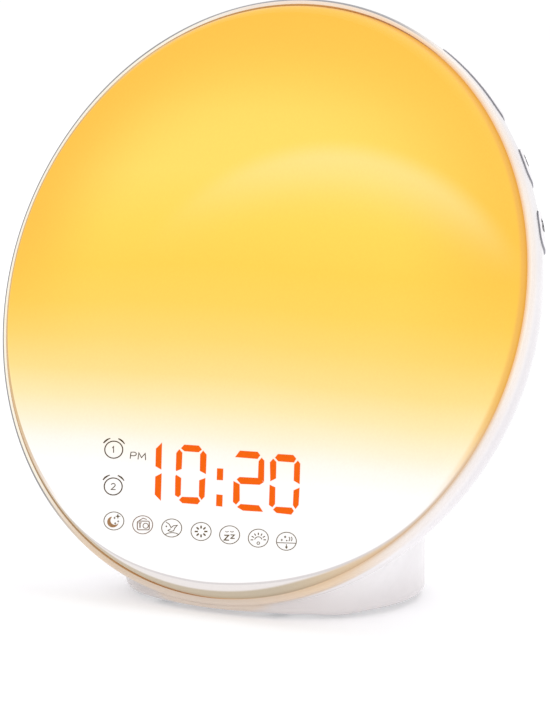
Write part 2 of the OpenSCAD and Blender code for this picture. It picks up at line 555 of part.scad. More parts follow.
module antenna_grommet() color([0.14, 0.14, 0.15]) base_frame() translate([13, panel_back, 17]) rotate([-90, 0, 0]) difference() {
    union() {
        cylinder(r = 4.2, h = 1, $fn = 64);
        translate([0, 0, -wall - 1.1]) cylinder(r = 2.95, h = wall + 1.2, $fn = 64);
        translate([0, 0, -wall - 1.2]) cylinder(r = 4, h = 1.2, $fn = 64);
    }
    translate([0, 0, -10]) cylinder(r = 1, h = 20, $fn = 32);
}

module light_leads() color([0.9, 0.9, 0.9]) face_frame() {
    // light board to main board
    for (x = [-4, -1.4, 1.2, 3.8]) lead([[x, -31, led_z - board_t], [x, -31, main_z + 3]], 0.5);
    // key boards to main board
    for (s = [-1, 1]) lead([[s * 54.72, 35.53, -15.6], [s * 52.6, 34.16, -15.6],
        [s * 46, 4, -18.4], [s * 33, -16, -19.4], [s * 33, -19.95, -19.4]], 0.6);
}
module base_leads() color([0.75, 0.1, 0.1]) base_frame() {
    a = [for (d = [0.05, 3]) to_base([-12.5, -45.5, mb - 4.5 - d])];
    b = [for (d = [0.05, 3]) to_base([-8.5, -45.5, mb - 4.5 - d])];
    c = [for (d = [0.05, 3]) to_base([19.5, -45.5, mb - 4.5 - d])];
    lead([[-8, 12, pad_h + 8.85], [-8, 12, pad_h + 11.5], a[1] + [1, 0, -8], a[1], a[0]], 0.6);
    lead([[-2, 12, pad_h + 8.85], [-2, 12, pad_h + 11.5], b[1] + [2, 0, -8], b[1], b[0]], 0.6);
    lead([[-13, panel_back - 13.55, 17], [-13, panel_back - 16, 17], [10, 26, 25], c[1] + [-2, 0, -4], c[1], c[0]], 0.7);
}

// Pan-head screw pointing down -z, its head on z = 0
module pan_screw(l) {
    cylinder(r = 2.3, h = 1.5, $fn = 48);
    translate([0, 0, -l]) cylinder(r = 1.2, h = l + 0.5, $fn = 32);
}
module board_screws() color([0.75, 0.76, 0.78]) face_frame() {
    for (p = boss_led) translate([p[0], p[1], -11.2]) pan_screw(6);
    for (p = led_holes) translate([p[0], p[1], led_z - board_t]) rotate([180, 0, 0]) pan_screw(2.8);
    for (p = boss_main) translate([p[0], p[1], main_z]) pan_screw(6);
    for (s = [-1, 1]) side(s) for (t = boss_key_t) translate([kb_s, t, switch_z]) rotate([0, -90, 0]) pan_screw(6);
    for (u = [-38.5, 30.5]) translate([u, -43.5, disp_z - board_t]) rotate([180, 0, 0]) pan_screw(6);
    for (p = boss_disp) translate([p[0], p[1], disp_z + 2]) pan_screw(6);
}
module speaker_screws() color([0.75, 0.76, 0.78]) face_frame() for (p = boss_spk) translate([p[0], p[1], sz + 1]) {
    cylinder(r = 2, h = 1.3, $fn = 48);
    translate([0, 0, -4.2]) cylinder(r = 1, h = 5, $fn = 32);
}
module base_screws() color([0.72, 0.73, 0.75]) base_frame() for (p = base_bosses) translate([p[0], p[1], pad_h + 0.2]) difference() {
    union() {
        cylinder(r = 2.4, h = 0.7, $fn = 48);
        cylinder(r = 1.2, h = 8, $fn = 32);
    }
    for (a = [0, 90]) rotate([0, 0, a]) translate([-1.5, -0.25, -0.1]) cube([3, 0.5, 0.5]);
}

rear_housing();
front_diffuser();
light_reflector();
led_board();
white_leds();
rgb_leds();
display_light_box();
display_segments();
icon_lenses();
display_film();
display_board();
display_leds();
display_driver();
display_ribbon();
main_board();
main_chip();
radio_module();
amplifier_chip();
clock_crystal();
capacitors();
board_connectors();
speaker_basket();
speaker_magnet();
speaker_surround();
speaker_cone();
speaker_dust_cap();
voice_coil();
speaker_gasket();
speaker_cloth();
speaker_leads();
right_long_key();
right_upper_key();
right_lower_key();
left_long_key();
left_upper_key();
left_lower_key();
right_long_plunger();
right_upper_plunger();
right_lower_plunger();
left_long_plunger();
left_upper_plunger();
left_lower_plunger();
right_key_board();
left_key_board();
right_key_switches();
left_key_switches();
bottom_cover();
battery_door();
coin_cell();
battery_contacts();
rubber_feet();
dc_jack();
dc_jack_pin();
dc_jack_nut();
antenna_grommet();
light_leads();
base_leads();
board_screws();
speaker_screws();
base_screws();
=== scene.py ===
"""Looks of the sunrise alarm clock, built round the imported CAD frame."""
import json
import math

import bmesh
import bpy
import numpy as np
from mathutils import Matrix, Vector

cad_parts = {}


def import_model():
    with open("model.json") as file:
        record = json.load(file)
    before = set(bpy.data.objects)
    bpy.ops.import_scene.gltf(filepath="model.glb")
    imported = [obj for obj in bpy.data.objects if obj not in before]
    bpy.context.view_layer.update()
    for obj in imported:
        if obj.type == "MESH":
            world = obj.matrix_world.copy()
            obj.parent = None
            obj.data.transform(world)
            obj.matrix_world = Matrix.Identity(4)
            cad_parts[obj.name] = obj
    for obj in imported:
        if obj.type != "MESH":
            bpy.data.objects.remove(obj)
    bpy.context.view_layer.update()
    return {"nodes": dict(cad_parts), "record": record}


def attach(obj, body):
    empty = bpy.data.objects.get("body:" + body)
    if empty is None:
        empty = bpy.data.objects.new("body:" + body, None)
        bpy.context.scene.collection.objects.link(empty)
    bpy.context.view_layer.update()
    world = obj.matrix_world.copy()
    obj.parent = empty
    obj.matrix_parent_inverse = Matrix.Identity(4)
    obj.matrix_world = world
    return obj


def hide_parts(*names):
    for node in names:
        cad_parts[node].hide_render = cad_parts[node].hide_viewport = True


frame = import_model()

# ---------------------------------------------------------------- frame of the face and of the base, in mm
YD = -14.6
FH = 86.0
TILT = math.radians(16.5)
ST, CT = math.sin(TILT), math.cos(TILT)
ROOT = "clock"
NODES = frame["nodes"]


def tilted(p):
    """Face-frame mm (u right, v up the face, h out of it) to base-frame mm."""
    p = np.asarray(p, float)
    u, v, h = p[..., 0], p[..., 1], p[..., 2]
    return np.stack([u, v * ST - h * CT, FH + v * CT + h * ST], -1)


def to_face(p):
    y, z = p[..., 1], p[..., 2] - FH
    return p[..., 0], y * ST + z * CT, -y * CT + z * ST


def world(p):
    """Base-frame mm to row-frame metres."""
    p = np.asarray(p, float)
    return (p + np.array([0.0, YD, 0.0])) / 1000.0


# ---------------------------------------------------------------- camera
def camera():
    a, e = math.radians(32.096), math.radians(6.928)
    right = np.array([math.cos(a), math.sin(a), 0.0])
    back = np.array([math.sin(a) * math.cos(e), -math.cos(a) * math.cos(e), math.sin(e)])
    up = np.cross(back, right)
    centre = np.array([0.0, YD, FH])
    aim = centre + 6.151 * right - 17.410 * up
    eye = (aim + 800.0 * back) / 1000.0
    data = bpy.data.cameras.new("camera")
    cam = bpy.data.objects.new("camera", data)
    bpy.context.scene.collection.objects.link(cam)
    m = Matrix(((right[0], up[0], back[0], eye[0]), (right[1], up[1], back[1], eye[1]), (right[2], up[2], back[2], eye[2]), (0, 0, 0, 1)))
    cam.matrix_world = m
    data.lens = 143.33
    data.sensor_width = 36.0
    data.sensor_fit = "AUTO"
    data.clip_start = 0.05
    data.clip_end = 20.0
    bpy.context.scene.camera = cam
    return cam


CAM = camera()
bpy.context.scene.view_settings.view_transform = "Standard"
bpy.context.scene.view_settings.look = "None"


# ---------------------------------------------------------------- shader helpers
def lin(r, g, b):
    """An sRGB colour of 0-255 as linear rgba."""
    f = lambda c: c / 12.92 if c <= 0.04045 else ((c + 0.055) / 1.055) ** 2.4
    return (f(r / 255), f(g / 255), f(b / 255), 1.0)


class Tree:
    """Short names for building a node tree."""

    def __init__(self, name):
        self.mat = bpy.data.materials.new(name)
        self.mat.use_nodes = True
        self.t = self.mat.node_tree
        self.t.nodes.clear()
        self.out = self.t.nodes.new("ShaderNodeOutputMaterial")
        self.pos = self.t.nodes.new("ShaderNodeTexCoord").outputs["Object"]

    def put(self, socket, value):
        if isinstance(value, bpy.types.NodeSocket):
            self.t.links.new(value, socket)
        elif value is not None:
            socket.default_value = value

    def node(self, kind, **props):
        n = self.t.nodes.new(kind)
        for k, v in props.items():
            setattr(n, k, v)
        return n

    def math(self, op, a, b=None, c=None, clamp=False):
        n = self.node("ShaderNodeMath", operation=op, use_clamp=clamp)
        for i, x in enumerate((a, b, c)):
            if x is not None:
                self.put(n.inputs[i], x)
        return n.outputs[0]

    def vec(self, op, a, b=None):
        n = self.node("ShaderNodeVectorMath", operation=op)
        self.put(n.inputs[0], a)
        if b is not None:
            self.put(n.inputs[1], b)
        return n.outputs["Value"] if op in ("DOT_PRODUCT", "LENGTH", "DISTANCE") else n.outputs[0]

    def step(self, x, lo, hi, a=0.0, b=1.0):
        n = self.node("ShaderNodeMapRange", interpolation_type="SMOOTHSTEP", clamp=True)
        for i, q in enumerate((x, lo, hi, a, b)):
            self.put(n.inputs[i], q)
        return n.outputs[0]

    def mix(self, f, a, b, blend="MIX"):
        n = self.node("ShaderNodeMix", data_type="RGBA", blend_type=blend)
        self.put(n.inputs[0], f)
        self.put(n.inputs[6], a)
        self.put(n.inputs[7], b)
        return n.outputs[2]

    def noise(self, scale, detail=2.0, rough=0.5, vector=None, out="Fac"):
        n = self.node("ShaderNodeTexNoise")
        self.put(n.inputs["Vector"], vector or self.pos)
        n.inputs["Scale"].default_value = scale
        n.inputs["Detail"].default_value = detail
        n.inputs["Roughness"].default_value = rough
        return n.outputs[out]

    def ramp(self, x, stops, interpolation="LINEAR"):
        n = self.node("ShaderNodeValToRGB")
        n.color_ramp.interpolation = interpolation
        el = n.color_ramp.elements
        while len(el) > 1:
            el.remove(el[-1])
        el[0].position, el[0].color = stops[0]
        for p, c in stops[1:]:
            e = el.new(p)
            e.color = c
        self.put(n.inputs[0], x)
        return n.outputs[0]

    def bump(self, height, strength, distance):
        n = self.node("ShaderNodeBump")
        n.inputs["Strength"].default_value = strength
        n.inputs["Distance"].default_value = distance
        self.put(n.inputs["Height"], height)
        return n.outputs[0]

    def principled(self, color, rough, metal=0.0, normal=None, spec=0.5, coat=0.0, emit=None, emit_strength=0.0, alpha=None):
        n = self.node("ShaderNodeBsdfPrincipled")
        self.put(n.inputs["Base Color"], color)
        self.put(n.inputs["Roughness"], rough)
        n.inputs["Metallic"].default_value = metal
        n.inputs["Specular IOR Level"].default_value = spec
        if coat:
            n.inputs["Coat Weight"].default_value = coat
            n.inputs["Coat Roughness"].default_value = 0.06
        if normal is not None:
            self.put(n.inputs["Normal"], normal)
        if emit is not None:
            self.put(n.inputs["Emission Color"], emit)
            self.put(n.inputs["Emission Strength"], emit_strength)
        self.t.links.new(n.outputs[0], self.out.inputs[0])
        return n

    def face(self):
        """Face coordinates u, v, h in mm."""
        q = self.vec("SUBTRACT", self.pos, (0.0, YD / 1000.0, FH / 1000.0))
        u = self.vec("DOT_PRODUCT", q, (1000.0, 0.0, 0.0))
        v = self.vec("DOT_PRODUCT", q, (0.0, 1000.0 * ST, 1000.0 * CT))
        h = self.vec("DOT_PRODUCT", q, (0.0, -1000.0 * CT, 1000.0 * ST))
        return u, v, h


def plain(name, color, rough=0.4, metal=0.0, spec=0.5, tone=0.06, tone_scale=60.0, fine=900.0, bump=0.08, depth=0.00008, rough_var=0.12, coat=0.0, stretch=None):
    """A material with slow tone drift, fine grain in the roughness and a fine bump."""
    t = Tree(name)
    p = t.pos
    if stretch:
        p = t.vec("MULTIPLY", t.pos, stretch)
    drift = t.noise(tone_scale, 3.0, 0.55, p)
    dark = tuple(c * (1 - tone) for c in color[:3]) + (1.0,)
    light = tuple(min(1.0, c * (1 + tone)) for c in color[:3]) + (1.0,)
    col = t.mix(t.step(drift, 0.3, 0.7), dark, light)
    grain = t.noise(fine, 4.0, 0.6, p)
    r = t.step(grain, 0.25, 0.75, max(0.02, rough - rough_var / 2), min(1.0, rough + rough_var / 2))
    t.principled(col, r, metal, t.bump(grain, bump, depth), spec, coat)
    return t.mat


# ---------------------------------------------------------------- mesh helpers
def link(me, name, mat=None, body=ROOT, replaces=()):
    o = bpy.data.objects.new(name, me)
    bpy.context.scene.collection.objects.link(o)
    if mat:
        me.materials.clear()
        me.materials.append(mat)
    if body:
        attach(o, body)
        if replaces:
            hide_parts(*replaces)
    return o


def raw_mesh(name, verts, faces):
    me = bpy.data.meshes.new(name)
    me.from_pydata([tuple(v) for v in np.asarray(verts, float)], [], [tuple(int(i) for i in f) for f in faces])
    me.update()
    return me


def outward(me):
    bm = bmesh.new()
    bm.from_mesh(me)
    bmesh.ops.recalc_face_normals(bm, faces=bm.faces)
    bm.to_mesh(me)
    bm.free()
    me.update()
    return me


def smooth(me, angle=35.0):
    me.polygons.foreach_set("use_smooth", [True] * len(me.polygons))
    me.set_sharp_from_angle(angle=math.radians(angle))
    me.update()
    return me


def ring_mesh(name, rings, start=None, end=None):
    """Closed rings of equal count as a tube, closed by a point or a flat cap at each end. rings is (m, n, 3) in base-frame mm."""
    rings = np.asarray(rings, float)
    m, n = rings.shape[:2]
    verts = [rings.reshape(-1, 3)]
    faces = []
    for i in range(m - 1):
        a, b = i * n, (i + 1) * n
        for k in range(n):
            q = (k + 1) % n
            faces.append((a + k, a + q, b + q, b + k))
    extra = []
    for which, at in ((start, 0), (end, m - 1)):
        base = at * n
        if which is None:
            f = list(range(base, base + n))
            faces.append(f if at else f[::-1])
        else:
            idx = m * n + len(extra)
            extra.append(np.asarray(which, float))
            for k in range(n):
                q = (k + 1) % n
                faces.append((base + k, base + q, idx) if at else (base + q, base + k, idx))
    if extra:
        verts.append(np.array(extra))
    return outward(raw_mesh(name, world(np.concatenate(verts)), faces))


def lathe(name, profile, place, n=96):
    """profile is (radius, height) pairs, the first and last on the axis if their radius is 0. place maps local (x, y, z) mm to base-frame mm."""
    prof = [(max(r, 0.0), z) for r, z in profile]
    start = place(np.array([0.0, 0.0, prof[0][1]])) if prof[0][0] < 1e-9 else None
    end = place(np.array([0.0, 0.0, prof[-1][1]])) if prof[-1][0] < 1e-9 else None
    body = [p for p in prof if p[0] >= 1e-9]
    th = 2 * math.pi * np.arange(n) / n
    rings = [place(np.stack([r * np.cos(th), r * np.sin(th), np.full(n, z)], -1)) for r, z in body]
    return ring_mesh(name, rings, start, end)


def ring_solid(name, profile, place, n=96):
    """A closed profile loop turned all the way round: a ring with a hole."""
    th = 2 * math.pi * np.arange(n) / n
    rings = [place(np.stack([r * np.cos(th), r * np.sin(th), np.full(n, z)], -1)) for r, z in profile]
    rings = np.array(rings)
    m = len(rings)
    faces = []
    for i in range(m):
        a, b = i * n, ((i + 1) % m) * n
        for k in range(n):
            q = (k + 1) % n
            faces.append((a + k, a + q, b + q, b + k))
    return outward(raw_mesh(name, world(rings.reshape(-1, 3)), faces))


def at_base(x=0.0, y=0.0, z=0.0):
    return lambda p: np.asarray(p, float) + np.array([x, y, z])


def at_rear(x, y, z):
    """Local z points out of the back of the clock."""
    return lambda p: np.stack([x - np.asarray(p, float)[..., 0], y + np.asarray(p, float)[..., 2], z + np.asarray(p, float)[..., 1]], -1)


def at_face(u=0.0, v=0.0, h=0.0):
    return lambda p: tilted(np.asarray(p, float) + np.array([u, v, h]))


def rod(p0, p1, r, n=32):
    """Vertices and faces of a cylinder between two base-frame points."""
    p0, p1 = np.asarray(p0, float), np.asarray(p1, float)
    d = (p1 - p0) / np.linalg.norm(p1 - p0)
    a = np.cross(d, [0.31, 0.87, 0.39])
    a /= np.linalg.norm(a)
    b = np.cross(d, a)
    th = 2 * math.pi * np.arange(n) / n
    ring = r * (np.cos(th)[:, None] * a + np.sin(th)[:, None] * b)
    v = np.concatenate([p0 + ring, p1 + ring])
    f = [(k, (k + 1) % n, n + (k + 1) % n, n + k) for k in range(n)]
    f += [tuple(range(n - 1, -1, -1)), tuple(range(n, 2 * n))]
    return v, f


def prism(outline, place, z0, z1):
    """Vertices and faces of a straight prism on a closed outline of (x, y)."""
    o = np.asarray(outline, float)
    n = len(o)
    lo = place(np.c_[o, np.full(n, z0)])
    hi = place(np.c_[o, np.full(n, z1)])
    f = [(k, (k + 1) % n, n + (k + 1) % n, n + k) for k in range(n)]
    f += [tuple(range(n - 1, -1, -1)), tuple(range(n, 2 * n))]
    return np.concatenate([lo, hi]), f


def joined(name, parts):
    verts, faces, off = [], [], 0
    for v, f in parts:
        verts.append(np.asarray(v, float))
        faces += [tuple(i + off for i in q) for q in f]
        off += len(v)
    return outward(raw_mesh(name, world(np.concatenate(verts)), faces))


def boolean(me, other, op, solver="MANIFOLD"):
    """me (op) other as a new mesh."""
    a = bpy.data.objects.new("bool_a", me)
    b = bpy.data.objects.new("bool_b", other)
    for o in (a, b):
        bpy.context.scene.collection.objects.link(o)
    mod = a.modifiers.new("b", "BOOLEAN")
    mod.operation = op
    mod.solver = solver
    mod.object = b
    dg = bpy.context.evaluated_depsgraph_get()
    dg.update()
    out = bpy.data.meshes.new_from_object(a.evaluated_get(dg))
    for o in (a, b):
        bpy.data.objects.remove(o)
    return out


# ---------------------------------------------------------------- shape of the shell
BR, SR, ZS = 86.6, 22.0, -2.0
C1X = BR - SR
DD = 54.0 + ZS
BACK = (C1X**2 + DD**2 - SR**2) / (2 * DD - 2 * SR)
C2Z = -54.0 + BACK
TAN_A = math.atan2(ZS - C2Z, C1X)
FOOT_R, FOOT_Y, PANEL = 43.0, 11.5, 48.0
FRONT_R, FRONT_Y = 60.0, 35.4
PAD = 1.5


def smax(a, b, r):
    return np.minimum(-r, np.maximum(a, b)) + np.sqrt(np.maximum(r + a, 0) ** 2 + np.maximum(r + b, 0) ** 2)


def smin(a, b, r):
    return np.maximum(r, np.minimum(a, b)) - np.sqrt(np.maximum(r - a, 0) ** 2 + np.maximum(r - b, 0) ** 2)


def sstep(x):
    x = np.clip(x, 0, 1)
    return x * x * (3 - 2 * x)


def f_bowl(p, off):
    u, v, h = to_face(p)
    r = np.hypot(u, v)
    dx, dz = r - C1X, h - ZS
    shoulder = np.hypot(dx, dz) - (SR + off)
    back = np.hypot(r, h - C2Z) - (BACK + off)
    low = np.where((np.arctan2(dz, dx) > TAN_A) & (dx > 0), shoulder, back)
    return np.where(h >= ZS, r - (BR + off), low)


def f_shell(p, inset, bottom, front, edge, corner):
    """Below zero inside the bowl and the foot, blended together. inset moves the surface inward."""
    u, v, h = to_face(p)
    y = p[..., 1]
    foot = smax(np.hypot(p[..., 0], y - FOOT_Y) - (FOOT_R - inset), np.hypot(p[..., 0], y - FRONT_Y) - (FRONT_R - inset), 5.0)
    foot = smax(foot, y - (PANEL - inset), corner)
    foot = smax(foot, bottom - p[..., 2], edge)
    foot = smax(foot, h + front, 0.6)
    foot = smax(foot, p[..., 2] - (72.0 - inset), 1.0)
    k = 11.0 * sstep((-3.0 - h) / 14.0) * (1 - 0.88 * sstep((y - 31.0) / 14.0)) + 0.25 + inset
    return smin(f_bowl(p, -inset), foot, k)


def cast(f, top, centre, pole, rows, dense=420):
    """Rows of points where rays from centre meet f = 0, from the ring top down to the pole."""
    n = len(top)
    d0 = top - centre
    d0 /= np.linalg.norm(d0, axis=1)[:, None]
    d1 = (pole - centre) / np.linalg.norm(pole - centre)
    om = np.arccos(np.clip(d0 @ d1, -1, 1))

    def shoot(w):
        s = (np.sin((1 - w) * om[:, None]) / np.sin(om)[:, None])[..., None] * d0[:, None, :]
        s = s + (np.sin(w * om[:, None]) / np.sin(om)[:, None])[..., None] * d1
        lo = np.zeros(w.shape)
        hi = np.full(w.shape, 230.0)
        for _ in range(34):
            mid = (lo + hi) / 2
            inside = f(centre + mid[..., None] * s) < 0
            lo = np.where(inside, mid, lo)
            hi = np.where(inside, hi, mid)
        return centre + ((lo + hi) / 2)[..., None] * s

    w = np.tile(np.linspace(0, 1, dense), (n, 1))
    p = shoot(w)
    seg = np.diff(p, axis=1)
    ds = np.linalg.norm(seg, axis=2)
    t = seg / np.maximum(ds, 1e-9)[..., None]
    turn = np.arccos(np.clip((t[:, 1:] * t[:, :-1]).sum(-1), -1, 1))
    weight = ds + 5.0 * np.concatenate([turn, turn[:, -1:]], 1)
    # even out between neighbouring columns, so that the rows run smoothly
    for _ in range(6):
        weight = (np.roll(weight, 1, 0) + 2 * weight + np.roll(weight, -1, 0)) / 4
    cum = np.concatenate([np.zeros((n, 1)), np.cumsum(weight, 1)], 1)
    cum /= cum[:, -1:]
    goal = np.linspace(0, 1, rows + 1)[:-1]
    w2 = np.array([np.interp(goal, cum[i], w[i]) for i in range(n)])
    out = shoot(w2)
    out[:, 0] = top
    return np.swapaxes(out, 0, 1)


COLS = 384
THETA = 2 * math.pi * np.arange(COLS) / COLS
CENTRE = np.array([0.0, 10.0, 40.0])


def circle(r, h):
    return tilted(np.stack([r * np.cos(THETA), r * np.sin(THETA), np.full(COLS, h)], -1))


def outer_f(p):
    return f_shell(p, 0.0, PAD, 1.0, 2.0, 3.0)


def shell_solid():
    rim = [circle(r, 0.0) for r in (30.0, 60.0, 80.0)]
    rim += [circle(BR - 0.9 + 0.9 * math.sin(a), -0.9 + 0.9 * math.cos(a)) for a in np.radians(np.linspace(0, 90, 8))]
    rows = cast(outer_f, circle(BR, -1.0), CENTRE, np.array([0.0, 30.0, PAD]), 190)
    return ring_mesh("shell", np.concatenate([np.array(rim), rows]), tilted([0, 0, 0]), np.array([0.0, 30.0, PAD]))


def hollow_solid():
    def f(p):
        return f_shell(p, 2.2, -5.0, 6.0, 0.8, 1.5)

    mouth = [circle(r, h) for r, h in ((60.0, 3.0), (84.9, 3.0), (84.9, -3.0), (82.6, -3.0), (82.6, -4.0))]
    b = C1X + math.sqrt((SR - 2.2) ** 2 - (4 + ZS) ** 2)
    rows = cast(f, circle(b, -4.0), CENTRE, np.array([0.0, 30.0, -5.0]), 120)
    return ring_mesh("hollow", np.concatenate([np.array(mouth), rows]), tilted([0, 0, 3.0]), np.array([0.0, 30.0, -5.0]))


def middle_solid():
    def f(p):
        return f_shell(p, 1.1, 3.0, 7.0, 0.4, 2.0)

    b = C1X + math.sqrt((SR - 1.1) ** 2 - (5 + ZS) ** 2)
    rows = cast(f, circle(b, -5.0), CENTRE, np.array([0.0, 30.0, 3.0]), 90)
    return ring_mesh("middle", np.concatenate([np.array([circle(60.0, -5.0)]), rows]), tilted([0, 0, -5.0]), np.array([0.0, 30.0, 3.0]))


KEY_DIR = math.radians(33.0)
KEY_T = (24.5, -5.3, -24.0)
KEY_H = (13.7, 4.8, 4.8)
KEY_Z0, KEY_Z1 = -15.6, -5.8
KEY_R = 2.9
SWITCH_Z = -13.4
KB = 65.4 + 1.6
LED_Z, MAIN_Z, DISP_Z, SPK_Z, SPK_V = -12.6, -21.0, -7.5, -41.0, 18.0
BOSS_LED = [(-20, 62), (20, 62), (-62, -22), (62, -22)]
BOSS_MAIN = [(-32, -46), (32, -46), (-32, -6), (32, -6)]
BOSS_DISP = [(-45.5, -57), (38, -57)]
BOSS_SPK = [(25 * math.cos(math.radians(a)), SPK_V + 25 * math.sin(math.radians(a))) for a in (45, 135, 225, 315)]
BOSS_KEY_T = (5.0, -14.7)
BASE_BOSS = [(-34.4, 14), (34.4, 14), (-18, -15), (18, -15)]


def side(s):
    """Side frame (s along the press axis, t along the side, z out of the face) to base-frame mm."""

    def place(p):
        p = np.asarray(p, float)
        u = p[..., 0] * math.cos(KEY_DIR) - p[..., 1] * math.sin(KEY_DIR)
        v = p[..., 0] * math.sin(KEY_DIR) + p[..., 1] * math.cos(KEY_DIR)
        return tilted(np.stack([u * s, v, p[..., 2]], -1))

    return place


def round_rect(hw, z0, z1, r, grow=0.0, per=8):
    """Outline of a rounded rectangle, half width hw in x, z0 to z1 in y."""
    hw, z0, z1, r = hw + grow, z0 - grow, z1 + grow, max(0.05, r + grow)
    pts = []
    for cx, cy, a0 in ((hw - r, z1 - r, 0), (-hw + r, z1 - r, 90), (-hw + r, z0 + r, 180), (hw - r, z0 + r, 270)):
        for k in range(per + 1):
            a = math.radians(a0 + 90 * k / per)
            pts.append((cx + r * math.cos(a), cy + r * math.sin(a)))
    return np.array(pts)


def subdivided(outline, step):
    """The same outline with points no further apart than step on its straight runs."""
    out = []
    n = len(outline)
    for i in range(n):
        a, b = outline[i], outline[(i + 1) % n]
        k = max(1, int(math.ceil(np.linalg.norm(b - a) / step)))
        out += [a + (b - a) * j / k for j in range(k)]
    return np.array(out)


def housing():
    solid = boolean(shell_solid(), hollow_solid(), "DIFFERENCE")
    # bosses and ribs inside
    parts = []
    for (u, v), h in [(p, LED_Z - 0.1) for p in BOSS_LED] + [(p, MAIN_Z - 1.6) for p in BOSS_MAIN] + [(p, DISP_Z) for p in BOSS_DISP]:
        parts.append(rod(tilted([u, v, -70.0]), tilted([u, v, h]), 2.9 if h == DISP_Z else 3.0, 40))
    for u, v in BASE_BOSS:
        parts.append(rod([u, v, 3.0], [u, v, 10.2], 3.0, 40))
    for s in (-1, 1):
        for t in BOSS_KEY_T:
            parts.append(rod(side(s)([KB, t, SWITCH_Z]), side(s)([KB + 20, t, SWITCH_Z]), 2.4, 32))
    mid = middle_solid()
    posts = boolean(joined("posts", parts), mid, "INTERSECT")
    ribs = []
    for s in (-1, 1):
        x0, x1 = (34.4, 41.0) if s > 0 else (-41.0, -34.4)
        ribs.append(prism([(x0, 12.8), (x1, 12.8), (x1, 15.2), (x0, 15.2)], at_base(), 4.0, 10.0))
        ribs.append(prism([(18 * s - 1.2, -22), (18 * s + 1.2, -22), (18 * s + 1.2, -15), (18 * s - 1.2, -15)], at_base(), 4.0, 10.0))
    ribs = boolean(joined("ribs", ribs), middle_solid(), "INTERSECT")
    seat = [rod(tilted([u, v, -70.0]), tilted([u, v, SPK_Z]), 2.9, 40) for u, v in BOSS_SPK]
    seat = joined("seat", seat)
    drum = joined("drum", [rod(tilted([0, SPK_V, -70.0]), tilted([0, SPK_V, SPK_Z - 0.8]), 21.6, 96)])
    seat = boolean(seat, drum, "UNION")
    bore = joined("bore", [rod(tilted([0, SPK_V, -80.0]), tilted([0, SPK_V, -20.0]), 20.4, 96)])
    seat = boolean(boolean(seat, bore, "DIFFERENCE"), middle_solid(), "INTERSECT")
    for extra in (posts, ribs, seat):
        solid = boolean(solid, extra, "UNION")
    # openings
    cuts = []
    for s in (-1, 1):
        for t, w in zip(KEY_T, KEY_H):
            place = side(s)
            o = round_rect(w, KEY_Z0, KEY_Z1, KEY_R, 0.3)
            cuts.append(prism(np.c_[o[:, 0] + t, o[:, 1]], lambda p, q=place: q(np.stack([p[..., 2], p[..., 0], p[..., 1]], -1)), 60.0, 100.0))
    solid = boolean(solid, joined("key_cuts", cuts), "DIFFERENCE")
    cuts = []
    for i in range(-5, 6):
        y = i * 3.3
        w = math.sqrt(18.5**2 - y * y)
        o = []
        for c, a0 in ((w - 0.8, -90), (-w + 0.8, 90)):
            o += [(c + 0.8 * math.cos(math.radians(a0 + 180 * k / 10)), SPK_V + y + 0.8 * math.sin(math.radians(a0 + 180 * k / 10))) for k in range(11)]
        cuts.append(prism(o, tilted, -75.0, -35.0))
    solid = boolean(solid, joined("grille", cuts), "DIFFERENCE")
    cuts = []
    for (u, v), h in [(p, LED_Z) for p in BOSS_LED] + [(p, MAIN_Z - 1.6) for p in BOSS_MAIN] + [(p, DISP_Z) for p in BOSS_DISP]:
        cuts.append(rod(tilted([u, v, h - 7.0]), tilted([u, v, h + 1.0]), 1.25, 24))
    for u, v in BOSS_SPK:
        cuts.append(rod(tilted([u, v, SPK_Z - 3.4]), tilted([u, v, SPK_Z + 1.0]), 1.05, 24))
    for s in (-1, 1):
        for t in BOSS_KEY_T:
            cuts.append(rod(side(s)([KB - 1.6, t, SWITCH_Z]), side(s)([KB + 6.4, t, SWITCH_Z]), 1.25, 24))
    for u, v in BASE_BOSS:
        cuts.append(rod([u, v, 2.0], [u, v, 12.0], 1.25, 24))
    cuts.append(rod([-13, 40, 17], [-13, 52, 17], 4.0, 64))
    cuts.append(rod([13, 40, 17], [13, 52, 17], 3.0, 64))
    solid = boolean(solid, joined("holes", cuts), "DIFFERENCE")
    return solid


def exact_normals(me, f, shift):
    """Smooth shading with the true surface normal wherever a corner lies on f = 0."""
    smooth(me, 32.0)
    nv, nl = len(me.vertices), len(me.loops)
    co = np.zeros(nv * 3)
    me.vertices.foreach_get("co", co)
    p = co.reshape(-1, 3) * 1000.0 - np.array([0.0, YD, 0.0])
    on = np.abs(f(p) - 0.0) < shift
    e = 0.01
    g = np.stack([f(p + np.array(d) * e) - f(p - np.array(d) * e) for d in ((1, 0, 0), (0, 1, 0), (0, 0, 1))], -1)
    g /= np.maximum(np.linalg.norm(g, axis=1), 1e-9)[:, None]
    lv = np.zeros(nl, np.int64)
    me.loops.foreach_get("vertex_index", lv)
    cn = np.array([c.vector for c in me.corner_normals])
    start = np.zeros(len(me.polygons), np.int64)
    total = np.zeros(len(me.polygons), np.int64)
    me.polygons.foreach_get("loop_start", start)
    me.polygons.foreach_get("loop_total", total)
    fn = np.zeros(len(me.polygons) * 3)
    me.polygons.foreach_get("normal", fn)
    fn = fn.reshape(-1, 3)
    poly = np.repeat(np.arange(len(me.polygons)), total)
    face_n = fn[poly]
    use = on[lv] & ((face_n * g[lv]).sum(1) > 0.93)
    cn[use] = g[lv][use]
    me.normals_split_custom_set([tuple(v) for v in cn])
    return me


